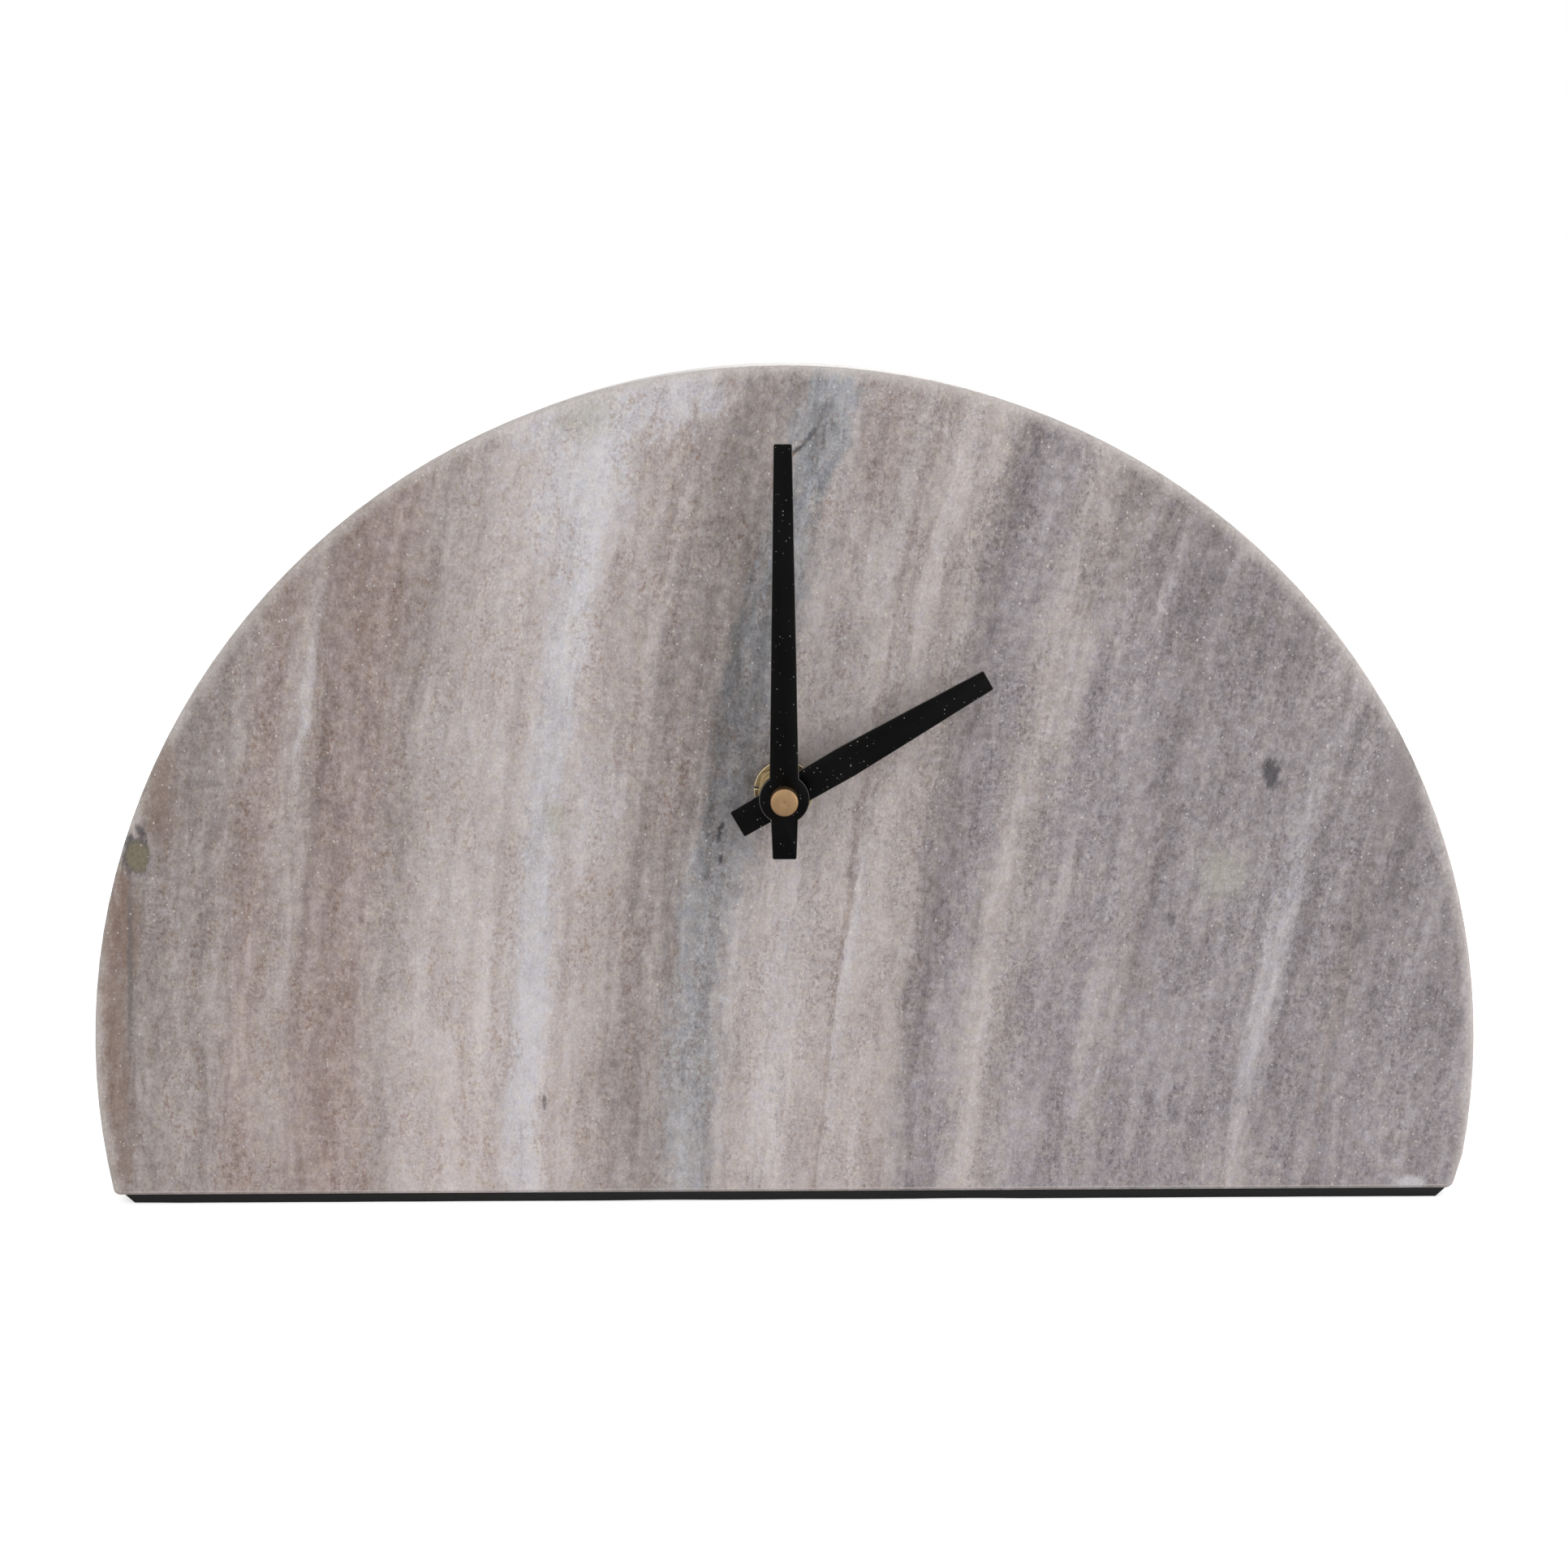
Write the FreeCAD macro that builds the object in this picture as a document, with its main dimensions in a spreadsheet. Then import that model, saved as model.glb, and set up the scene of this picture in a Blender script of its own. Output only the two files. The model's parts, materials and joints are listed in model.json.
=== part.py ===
import FreeCAD, Part
import math
import os
import re

import Sketcher
from FreeCAD import Placement, Rotation, Vector

# A half-round stone mantel clock. Lengths are in millimetres and angles in degrees.
# The origin is the middle of the base pad's underside: +X to the right of the dial,
# -Y out of the front face, +Z up. The hands stand at two o'clock.

SIZES = (
    # stone slab
    ("slab_radius", 150.0),
    ("slab_height", 179.3),
    ("slab_depth", 38.0),
    ("slab_arris", 0.8),
    ("slab_corner", 1.5),
    ("stone_wall", 12.0),
    ("finger_gap", 8.0),
    ("recess_corner", 10.0),
    ("recess_arris", 0.6),
    ("bush_hole_gap", 0.5),
    # base pad
    ("pad_thickness", 2.2),
    ("pad_end_inset", 1.8),
    ("pad_end_slant", 2.3),
    ("pad_face_inset", 1.5),
    # fixing through the stone
    ("cushion_radius", 11.0),
    ("cushion_thickness", 1.0),
    ("bush_radius", 4.0),
    ("bush_spare", 2.2),
    ("bush_bevel", 0.4),
    ("flange_radius", 5.2),
    ("flange_thickness", 0.8),
    ("thread_gap", 0.05),
    ("washer_radius", 6.45),
    ("washer_thickness", 1.8),
    ("washer_split", 0.5),
    ("washer_split_angle", 174.0),
    ("washer_bevel", 0.25),
    ("nut_flats", 10.8),
    ("nut_thickness", 2.5),
    ("nut_bevel", 0.5),
    ("nut_angle", 20.0),
    # hands
    ("hand_thickness", 0.5),
    ("hour_standoff", 10.5),
    ("hour_hand_angle", 60.0),
    ("hour_length", 49.4),
    ("hour_shoulder", 15.0),
    ("hour_shoulder_width", 6.4),
    ("hour_tip_width", 4.15),
    ("hour_tail", 11.5),
    ("hour_root_width", 6.7),
    ("hour_tail_width", 5.6),
    ("hour_hub_radius", 5.2),
    ("hour_collet_radius", 3.6),
    ("hour_collet_length", 2.2),
    ("minute_standoff", 1.8),
    ("minute_length", 73.9),
    ("minute_root_width", 6.3),
    ("minute_tip_width", 3.5),
    ("minute_tail", 12.8),
    ("minute_tail_width", 4.6),
    ("minute_hub_radius", 5.27),
    ("minute_collet_radius", 2.6),
    ("hand_corner", 0.4),
    ("cap_radius", 2.9),
    ("cap_height", 4.3),
    ("cap_bevel", 0.3),
    ("cap_bore_depth", 2.8),
    # running and seated fits
    ("running_gap", 0.05),
    ("seat_gap", 0.02),
    # battery cell and contacts
    ("cell_radius", 7.1),
    ("cell_body", 49.5),
    ("cell_bevel", 0.6),
    ("nipple_radius", 2.6),
    ("nipple_height", 1.0),
    ("cell_gap", 0.3),
    ("contact_thickness", 0.3),
    ("contact_width", 8.0),
    ("contact_height", 10.0),
    ("contact_gap", 0.1),
    ("spring_reach", 2.1),
    # movement case
    ("case_wall", 1.3),
    ("case_front", 1.4),
    ("case_corner", 3.0),
    ("cover_thickness", 1.4),
    ("bay_drop", 10.6),
    ("bay_wall", 1.0),
    ("window_lip", 0.7),
    ("post_side", 3.0),
    ("post_inset", 1.0),
    ("post_sink", 0.25),
    # wheel layers
    ("layer_gap", 0.3),
    ("wheel_width", 0.9),
    ("pinion_lap", 0.1),
    ("web_sink", 0.25),
    ("rim_width", 0.9),
    ("end_play", 0.2),
    # motion work
    ("motion_centres", 8.0),
    ("motion_angle", 200.0),
    ("setting_angle", 150.0),
    ("cannon_teeth", 16),
    ("motion_teeth", 48),
    ("motion_pinion_teeth", 10),
    ("hour_teeth", 40),
    ("setting_teeth", 16),
    ("stud_radius", 0.8),
    ("pipe_radius", 2.5),
    ("pipe_lead", 0.15),
    ("minute_arbor_radius", 1.6),
    ("minute_thread_radius", 1.2),
    ("arbor_entry", 3.0),
    # setting knob
    ("shaft_radius", 1.0),
    ("knob_radius", 5.5),
    ("knob_height", 3.0),
    ("knob_bevel", 0.5),
    ("knob_bore_depth", 2.0),
    ("grip_width", 0.9),
    ("grip_depth", 0.5),
    ("grip_notches", 20),
    # one overrun for every cut
    ("cut_overrun", 1.0),
)

# Tooth form in modules: slender straight flanks with room to run.
ADDENDUM_SHARE = 0.7
DEDENDUM_SHARE = 1.1
ROOT_WIDTH_SHARE = 0.55
TIP_WIDTH_SHARE = 0.25

# Places worked out from the sizes above.
AXIS_Z = "(pad_thickness + slab_height / 2)"
FACE_Y = "(-slab_depth / 2)"
FLOOR_Y = "(stone_wall - slab_depth / 2)"
CASE_Y = f"({FLOOR_Y} + cushion_thickness)"
HALF_BASE = "sqrt(slab_radius ^ 2 - (slab_height - slab_radius) ^ 2)"
BUSH_LENGTH = "(cushion_thickness + stone_wall + washer_thickness + nut_thickness + bush_spare)"
HOUR_HAND_Y = f"({FACE_Y} - hour_standoff - hand_thickness)"
MINUTE_HAND_Y = f"({HOUR_HAND_Y} - minute_standoff - hand_thickness)"

CELL_LENGTH = "(cell_body + nipple_height)"
CASE_INNER = f"({CELL_LENGTH} + spring_reach + 2 * contact_thickness + 2 * contact_gap)"
CASE_SIDE = f"({CASE_INNER} + 2 * case_wall)"
CASE_DEPTH = "(case_front + cell_gap + 2 * cell_radius + contact_gap)"
COVER_INNER = f"({CASE_DEPTH} - cover_thickness)"
RECESS_SIDE = f"({CASE_SIDE} + 2 * finger_gap)"
BAY_TOP = "(-bay_drop - bay_wall)"
CELL_Z = f"({BAY_TOP} - cell_gap - cell_radius)"

HOUR_DEPTH = "(case_front + flange_thickness + layer_gap)"
MOTION_DEPTH = f"({HOUR_DEPTH} + wheel_width + layer_gap)"
DRIVE_DEPTH = f"({MOTION_DEPTH} + wheel_width + layer_gap)"
ARBOR_END = f"({DRIVE_DEPTH} + arbor_entry)"

MOTION_MODULE = "(2 * motion_centres / (cannon_teeth + motion_teeth))"
HOUR_MODULE = "(2 * motion_centres / (motion_pinion_teeth + hour_teeth))"
SETTING_CENTRES = f"({MOTION_MODULE} * (motion_teeth + setting_teeth) / 2)"

MOTION_PLACE = ("(motion_centres * cos(motion_angle))", "(motion_centres * sin(motion_angle))")
SETTING_PLACE = (
    f"({MOTION_PLACE[0]} + {SETTING_CENTRES} * cos(setting_angle))",
    f"({MOTION_PLACE[1]} + {SETTING_CENTRES} * sin(setting_angle))",
)
CENTRE_PLACE = ("0", "0")

DRIVE_SIDE = f"({CASE_INNER} / 2 - post_inset)"
DRIVE_BOTTOM = "(-bay_drop + post_inset)"
POSTS = [(f"({side}({DRIVE_SIDE} - post_side / 2))", up)
         for side in "-+"
         for up in (f"({DRIVE_BOTTOM} + post_side / 2)", f"({DRIVE_SIDE} - post_side / 2)")]

NEAR = 0.001  # two places this close count as one
WORD = re.compile(r"\b[a-z]+(?:_[a-z]+)+\b")
ROUGH = 1.0  # a start for the solver: every corner is then placed by its own expression

doc = FreeCAD.newDocument("mantel_clock")
sheet = doc.addObject("Spreadsheet::Sheet", "Sizes")
for row, (alias, amount) in enumerate(SIZES, start=1):
    sheet.set(f"A{row}", alias)
    sheet.set(f"B{row}", str(amount))
    sheet.setAlias(f"B{row}", alias)
doc.recompute()


def bound(text):
    """An expression in which every size is read from the sheet."""
    return WORD.sub(lambda word: "Sizes." + word.group(0), text)


def meshed(direction, turn, teeth, own):
    """The turn that puts a wheel's gap on the tooth of the wheel it meets."""
    return f"({direction} + 180 + ({direction} - {turn}) * {teeth} / {own} + 180 / {own})"


def behind(place, depth):
    """Where a movement piece stands: its place on the dial plane and its depth in the case."""
    return {"x": place[0], "y": f"({CASE_Y} + {depth})", "z": f"({AXIS_Z} + {place[1]})"}


class Piece:
    """A sub-part. Its own origin is at its front, and depths run back along +Y."""

    def __init__(self, label, x="0", y="0", z="0", angle="0"):
        self.body = doc.addObject("PartDesign::Body", label)
        self.body.Label = label
        self.count = 0
        if angle != "0":
            self.body.Placement = Placement(Vector(), Rotation(Vector(0, 1, 0), ROUGH))
            self.body.setExpression("Placement.Rotation.Angle", bound(angle))
        for axis, text in zip("xyz", (x, y, z)):
            if text != "0":
                self.body.setExpression("Placement.Base." + axis, bound(text))

    def origin(self, role):
        return next(item for item in self.body.Origin.OriginFeatures if item.Role == role)

    def feature(self, kind, word):
        self.count += 1
        return self.body.newObject(kind, f"{self.body.Name}_{word}_{self.count}")

    def sketch(self, depth="0", plane="XZ_Plane", turn="0"):
        """A sketch facing the front, at a depth behind the piece's own origin."""
        sketch = self.feature("Sketcher::SketchObject", "sketch")
        sketch.AttachmentSupport = (self.origin(plane), [""])
        sketch.MapMode = "FlatFace"
        if turn != "0":
            sketch.AttachmentOffset = Placement(Vector(), Rotation(Vector(0, 0, 1), ROUGH))
            sketch.setExpression("AttachmentOffset.Rotation.Angle", bound(turn))
        if depth != "0":
            side = "-" if plane == "XZ_Plane" else ""
            sketch.setExpression("AttachmentOffset.Base.z", bound(f"{side}({depth})"))
        return sketch

    def sized(self, feature, **sizes):
        for name, text in sizes.items():
            feature.setExpression(name, bound(text))
        return feature

    def pad(self, sketch, length, up=False):
        """Adds the outline's solid, towards the back, or upwards from a level sketch."""
        feature = self.feature("PartDesign::Pad", "pad")
        feature.Profile = sketch
        feature.Reversed = not up
        return self.sized(feature, Length=length)

    def pocket(self, sketch, length, up=False):
        """Takes the outline out of the solid, towards the back or upwards."""
        doc.recompute()
        before = self.body.Shape.Volume
        feature = self.feature("PartDesign::Pocket", "pocket")
        feature.Profile = sketch
        feature.Reversed = up
        self.sized(feature, Length=length)
        doc.recompute()
        if not self.body.Shape.Volume < before:
            raise RuntimeError(f"{feature.Name} cuts nothing")
        return feature

    def turned(self, corners, axis="V_Axis", kind="PartDesign::Revolution"):
        """A turned form: corners are (radius, depth) about the Y axis, or (along, radius)."""
        sketch = self.sketch(plane="XY_Plane")
        polygon(sketch, corners)
        feature = self.feature(kind, "turned")
        feature.Profile = sketch
        feature.ReferenceAxis = (sketch, [axis])
        feature.Angle = 360
        return feature

    def edges(self, wanted):
        doc.recompute()
        found = enumerate(self.body.Tip.Shape.Edges, start=1)
        return [f"Edge{number}" for number, edge in found if wanted(edge)]

    def dress(self, kind, wanted, **sizes):
        """A fillet or chamfer on the wanted edges."""
        names = self.edges(wanted)
        base = self.body.Tip
        feature = self.feature(kind, "edge")
        feature.Base = (base, names)
        return self.sized(feature, **sizes)

    def repeat(self, feature, times):
        """Copies of a feature round the piece's own Y axis."""
        pattern = self.feature("PartDesign::PolarPattern", "ring")
        pattern.Originals = [feature]
        pattern.Axis = (self.origin("Y_Axis"), [""])
        pattern.Angle = 360
        self.sized(pattern, Occurrences=times)
        self.body.Tip = pattern
        return pattern

    def disc(self, radius, depth, width, place=CENTRE_PLACE):
        sketch = self.sketch(depth)
        circle(sketch, place, radius)
        return self.pad(sketch, width)

    def hole(self, radius, depth, width, place=CENTRE_PLACE):
        sketch = self.sketch(depth)
        circle(sketch, place, radius)
        return self.pocket(sketch, width)

    def prism(self, sides, inner_radius, depth, width, turn):
        """A many-sided disc whose flats lie at the inner radius."""
        feature = self.feature("PartDesign::AdditivePrism", "root")
        feature.AttachmentSupport = (self.origin("XZ_Plane"), [""])
        feature.MapMode = "FlatFace"
        feature.AttachmentOffset = Placement(Vector(), Rotation(Vector(0, 0, 1), ROUGH))
        feature.setExpression("AttachmentOffset.Rotation.Angle", bound(turn))
        feature.setExpression("AttachmentOffset.Base.z", bound(f"-({depth} + {width})"))
        return self.sized(
            feature, Polygon=sides, Circumradius=f"{inner_radius} / cos(180 / {sides})", Height=width)

    def teeth(self, count, module, depth, width, turn):
        """A toothed ring on its root prism, whose corners lie under the teeth."""
        self.prism(count, f"{module} * ({count} / 2 - {DEDENDUM_SHARE})", depth, width, turn)
        sketch = self.sketch(depth, turn=turn)
        root = f"{module} * ({count} / 2 - {DEDENDUM_SHARE} - {ROOT_WIDTH_SHARE})"
        tip = f"{module} * ({count} / 2 + {ADDENDUM_SHARE})"
        broad = f"({module} * pi * {ROOT_WIDTH_SHARE} / 2)"
        slim = f"({module} * pi * {TIP_WIDTH_SHARE} / 2)"
        polygon(sketch, ((root, f"-{broad}"), (tip, f"-{slim}"), (tip, slim), (root, broad)))
        self.repeat(self.pad(sketch, width), count)

    def lighten(self, count, module, depth, hub):
        """The sunk web between a wheel's hub and its rim."""
        sketch = self.sketch(depth)
        circle(sketch, CENTRE_PLACE, hub)
        circle(sketch, CENTRE_PLACE, f"{module} * ({count} / 2 - {DEDENDUM_SHARE}) - rim_width")
        self.pocket(sketch, "web_sink")


def pin(sketch, geometry, point, across, up):
    """Places one point of a sketch by two expressions."""
    for kind, axis, text in (("DistanceX", -2, across), ("DistanceY", -1, up)):
        if text == "0":
            sketch.addConstraint(Sketcher.Constraint("PointOnObject", geometry, point, axis))
        else:
            number = sketch.addConstraint(
                Sketcher.Constraint(kind, -1, 1, geometry, point, ROUGH))
            sketch.setExpression(f"Constraints[{number}]", bound(text))


def circle(sketch, place, radius):
    number = sketch.addGeometry(Part.Circle(Vector(0, 0, 0), Vector(0, 0, 1), ROUGH))
    pin(sketch, number, 3, *place)
    size = sketch.addConstraint(Sketcher.Constraint("Radius", number, ROUGH))
    sketch.setExpression(f"Constraints[{size}]", bound(radius))


def polygon(sketch, corners):
    """A closed outline of straight edges."""
    count = len(corners)
    first = sketch.GeometryCount
    rough = [Rotation(Vector(0, 0, 1), 360 * k / count).multVec(Vector(ROUGH, 0, 0))
             for k in range(count)]
    for k in range(count):
        sketch.addGeometry(Part.LineSegment(rough[k], rough[(k + 1) % count]))
    for k in range(count):
        sketch.addConstraint(
            Sketcher.Constraint("Coincident", first + k, 2, first + (k + 1) % count, 1))
    for k, (across, up) in enumerate(corners):
        pin(sketch, first + k, 1, across, up)


def rectangle(sketch, left, right, bottom, top):
    polygon(sketch, ((left, bottom), (right, bottom), (right, top), (left, top)))


def square(sketch, side):
    rectangle(sketch, f"-{side} / 2", f"{side} / 2", f"-{side} / 2", f"{side} / 2")


def along_depth(edge):
    """True for a straight edge that runs from front to back."""
    if edge.Curve.TypeId != "Part::GeomLine":
        return False
    direction = edge.Vertexes[-1].Point - edge.Vertexes[0].Point
    return direction.cross(Vector(0, 1, 0)).Length < NEAR


def size(alias):
    return float(sheet.get(alias))


def lies_at(edge, depth):
    """True for an edge in the plane at that depth."""
    box = edge.BoundBox
    return abs(box.YMin - depth) < NEAR and abs(box.YMax - depth) < NEAR


def marble_slab():
    """Half-round slab with eased edges, a shaft hole and a milled recess behind."""
    piece = Piece("marble_slab", y=FACE_Y, z="pad_thickness")
    sketch = piece.sketch()
    radius, rise = size("slab_radius"), size("slab_height") - size("slab_radius")
    below = math.asin(rise / radius)
    half = radius * math.cos(below)
    sketch.addGeometry(Part.ArcOfCircle(
        Part.Circle(Vector(0, rise, 0), Vector(0, 0, 1), radius), -below, math.pi + below))
    sketch.addGeometry(Part.LineSegment(Vector(-half, 0, 0), Vector(half, 0, 0)))
    sketch.addConstraint(Sketcher.Constraint("Coincident", 0, 2, 1, 1))
    sketch.addConstraint(Sketcher.Constraint("Coincident", 1, 2, 0, 1))
    sketch.addConstraint(Sketcher.Constraint("PointOnObject", 1, 1, -1))
    sketch.addConstraint(Sketcher.Constraint("PointOnObject", 1, 2, -1))
    pin(sketch, 0, 3, "0", "slab_height - slab_radius")
    number = sketch.addConstraint(Sketcher.Constraint("Radius", 0, radius))
    sketch.setExpression(f"Constraints[{number}]", bound("slab_radius"))
    piece.pad(sketch, "slab_depth")
    piece.dress("PartDesign::Fillet", along_depth, Radius="slab_corner")
    piece.dress(
        "PartDesign::Chamfer",
        lambda edge: lies_at(edge, 0) or lies_at(edge, size("slab_depth")),
        Size="slab_arris")
    middle = "slab_height / 2"
    sketch = piece.sketch("stone_wall")
    half = f"({RECESS_SIDE} / 2)"
    rectangle(sketch, f"-{half}", half, f"{middle} - {half}", f"{middle} + {half}")
    piece.pocket(sketch, "slab_depth - stone_wall + cut_overrun")
    piece.dress(
        "PartDesign::Fillet",
        lambda edge: along_depth(edge) and edge.BoundBox.YMin > size("slab_arris"),
        Radius="recess_corner")
    piece.dress(
        "PartDesign::Chamfer",
        lambda edge: (lies_at(edge, size("slab_depth"))
                      and edge.BoundBox.XMax < size("slab_radius") / 2),
        Size="recess_arris")
    piece.hole("bush_radius + bush_hole_gap", "-cut_overrun", "slab_depth", ("0", middle))


def base_pad():
    """Thin pad with slanted ends, set in a little from the stone all round."""
    piece = Piece("base_pad", y=f"{FACE_Y} + pad_face_inset")
    sketch = piece.sketch()
    top = f"({HALF_BASE} - pad_end_inset)"
    foot = f"({top} - pad_end_slant)"
    polygon(sketch, (
        (f"-{foot}", "0"), (foot, "0"), (top, "pad_thickness"), (f"-{top}", "pad_thickness")))
    piece.pad(sketch, "slab_depth - 2 * pad_face_inset")


def fixing():
    """What clamps the movement to the stone, from the recess to the dial side."""
    cushion = Piece("rubber_cushion", y=FLOOR_Y, z=AXIS_Z)
    cushion.disc("cushion_radius", "0", "cushion_thickness")
    cushion.hole("bush_radius + bush_hole_gap", "-cut_overrun", "cushion_thickness + 2 * cut_overrun")

    bush = Piece("threaded_bush", y=f"{CASE_Y} - {BUSH_LENGTH}", z=AXIS_Z)
    seat = f"({BUSH_LENGTH} + case_front)"
    bore = "(pipe_radius + running_gap)"
    bush.turned((
        (bore, "0"),
        ("bush_radius - bush_bevel", "0"),
        ("bush_radius", "bush_bevel"),
        ("bush_radius", seat),
        ("flange_radius", seat),
        ("flange_radius", f"{seat} + flange_thickness"),
        (bore, f"{seat} + flange_thickness"),
    ))

    washer = Piece("spring_washer", y=f"{FACE_Y} - washer_thickness", z=AXIS_Z)
    bore = "(bush_radius + thread_gap)"
    washer.turned((
        (bore, "0"),
        ("washer_radius - washer_bevel", "0"),
        ("washer_radius", "washer_bevel"),
        ("washer_radius", "washer_thickness - washer_bevel"),
        ("washer_radius - washer_bevel", "washer_thickness"),
        (bore, "washer_thickness"),
    ))
    sketch = washer.sketch("-cut_overrun", turn="washer_split_angle")
    rectangle(
        sketch, "bush_radius / 2", "washer_radius + cut_overrun",
        "-washer_split / 2", "washer_split / 2")
    washer.pocket(sketch, "washer_thickness + 2 * cut_overrun")

    nut = Piece("hex_nut", y=f"{FACE_Y} - washer_thickness - nut_thickness", z=AXIS_Z)
    sketch = nut.sketch(turn="nut_angle")
    corner = "nut_flats / 2 / cos(30)"
    polygon(sketch, [(f"{corner} * cos({60 * k})", f"{corner} * sin({60 * k})") for k in range(6)])
    nut.pad(sketch, "nut_thickness")
    nut.turned((
        ("nut_flats / 2", "0"),
        ("nut_flats / 2 - cut_overrun", "-cut_overrun"),
        ("nut_flats", "-cut_overrun"),
        ("nut_flats", "nut_bevel"),
        ("nut_flats / 2 / cos(30)", "nut_bevel"),
    ), kind="PartDesign::Groove")
    nut.hole(bore, "-cut_overrun", "nut_thickness + 2 * cut_overrun")


def blade(piece, tail, tip, half_widths):
    """A flat hand from tail to tip: half_widths are (distance up from the axis, half width)."""
    sketch = piece.sketch()
    outline = [(f"-{tail}", half_widths[0]), *half_widths[1:-1], (tip, half_widths[-1])]
    right = [(width, height) for height, width in outline]
    left = [(f"-({width})", height) for height, width in reversed(outline)]
    polygon(sketch, right + left)
    piece.pad(sketch, "hand_thickness")
    ends = (-size(tail), size(tip))
    piece.dress(
        "PartDesign::Fillet",
        lambda edge: (along_depth(edge)
                      and any(abs(edge.BoundBox.ZMin - end) < NEAR for end in ends)),
        Radius="hand_corner")


def hands():
    """Hour hand, minute hand, their collets and the cap nut that holds them."""
    hour = Piece("hour_hand", y=HOUR_HAND_Y, z=AXIS_Z, angle="hour_hand_angle")
    blade(hour, "hour_tail", "hour_length", (
        "hour_tail_width / 2",
        ("0", "hour_root_width / 2"),
        ("hour_shoulder", "hour_shoulder_width / 2"),
        "hour_tip_width / 2",
    ))
    hour.disc("hour_hub_radius", "0", "hand_thickness")
    hour.hole("pipe_radius + seat_gap", "-cut_overrun", "hand_thickness + 2 * cut_overrun")

    collet = Piece("hour_collet", y=f"{HOUR_HAND_Y} + hand_thickness", z=AXIS_Z)
    collet.disc("hour_collet_radius", "0", "hour_collet_length")
    collet.hole("pipe_radius + seat_gap", "-cut_overrun", "hour_collet_length + 2 * cut_overrun")

    minute = Piece("minute_hand", y=MINUTE_HAND_Y, z=AXIS_Z)
    blade(minute, "minute_tail", "minute_length", (
        "minute_tail_width / 2",
        ("0", "minute_root_width / 2"),
        "minute_tip_width / 2",
    ))
    minute.disc("minute_hub_radius", "0", "hand_thickness")
    minute.hole("minute_thread_radius + seat_gap", "-cut_overrun", "hand_thickness + 2 * cut_overrun")

    collet = Piece("minute_collet", y=f"{MINUTE_HAND_Y} + hand_thickness", z=AXIS_Z)
    length = "(minute_standoff - pipe_lead - layer_gap)"
    collet.disc("minute_collet_radius", "0", length)
    collet.hole("minute_arbor_radius + seat_gap", "-cut_overrun", f"{length} + 2 * cut_overrun")

    cap = Piece("cap_nut", y=f"{MINUTE_HAND_Y} - cap_height", z=AXIS_Z)
    bore = "(minute_thread_radius + seat_gap)"
    floor = "(cap_height - cap_bore_depth)"
    cap.turned((
        ("0", "0"),
        ("cap_radius - cap_bevel", "0"),
        ("cap_radius", "cap_bevel"),
        ("cap_radius", "cap_height"),
        (bore, "cap_height"),
        (bore, floor),
        ("0", floor),
    ))


def case():
    """The movement's tray, the sealed drive inside it and the back cover."""
    tray = Piece("front_case", **behind(CENTRE_PLACE, "0"))
    sketch = tray.sketch()
    square(sketch, CASE_SIDE)
    tray.pad(sketch, COVER_INNER)
    tray.dress("PartDesign::Fillet", along_depth, Radius="case_corner")
    inner = f"({CASE_INNER} / 2)"
    for bottom, top in (("-bay_drop", inner), (f"-{inner}", BAY_TOP)):
        sketch = tray.sketch("case_front")
        rectangle(sketch, f"-{inner}", inner, bottom, top)
        tray.pocket(sketch, CASE_DEPTH)
    tray.hole("bush_radius + thread_gap", "-cut_overrun", "case_front + 2 * cut_overrun")
    half = "(post_side / 2)"
    for across, up in POSTS:
        sketch = tray.sketch("case_front - post_sink")
        rectangle(
            sketch, f"{across} - {half}", f"{across} + {half}", f"{up} - {half}", f"{up} + {half}")
        tray.pad(sketch, f"{DRIVE_DEPTH} - case_front + post_sink")
    stud = f"{DRIVE_DEPTH} - case_front + post_sink"
    tray.disc("stud_radius", "case_front - post_sink", stud, MOTION_PLACE)

    drive = Piece("drive_module", **behind(CENTRE_PLACE, DRIVE_DEPTH))
    sketch = drive.sketch()
    rectangle(sketch, f"-{DRIVE_SIDE}", DRIVE_SIDE, DRIVE_BOTTOM, DRIVE_SIDE)
    length = f"({COVER_INNER} - {DRIVE_DEPTH})"
    drive.pad(sketch, length)
    drive.hole("minute_arbor_radius + running_gap", "-cut_overrun", "arbor_entry + end_play + cut_overrun")
    drive.hole(
        "shaft_radius + running_gap", "-cut_overrun", f"{length} + 2 * cut_overrun", SETTING_PLACE)

    cover = Piece("back_cover", **behind(CENTRE_PLACE, COVER_INNER))
    sketch = cover.sketch()
    square(sketch, CASE_SIDE)
    cover.pad(sketch, "cover_thickness")
    cover.dress("PartDesign::Fillet", along_depth, Radius="case_corner")
    sketch = cover.sketch("-cut_overrun")
    side = f"({inner} - window_lip)"
    rectangle(sketch, f"-{side}", side, f"-{side}", f"{BAY_TOP} - window_lip")
    cover.pocket(sketch, "cover_thickness + 2 * cut_overrun")
    cover.hole(
        "shaft_radius + running_gap", "-cut_overrun", "cover_thickness + 2 * cut_overrun",
        SETTING_PLACE)


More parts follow.
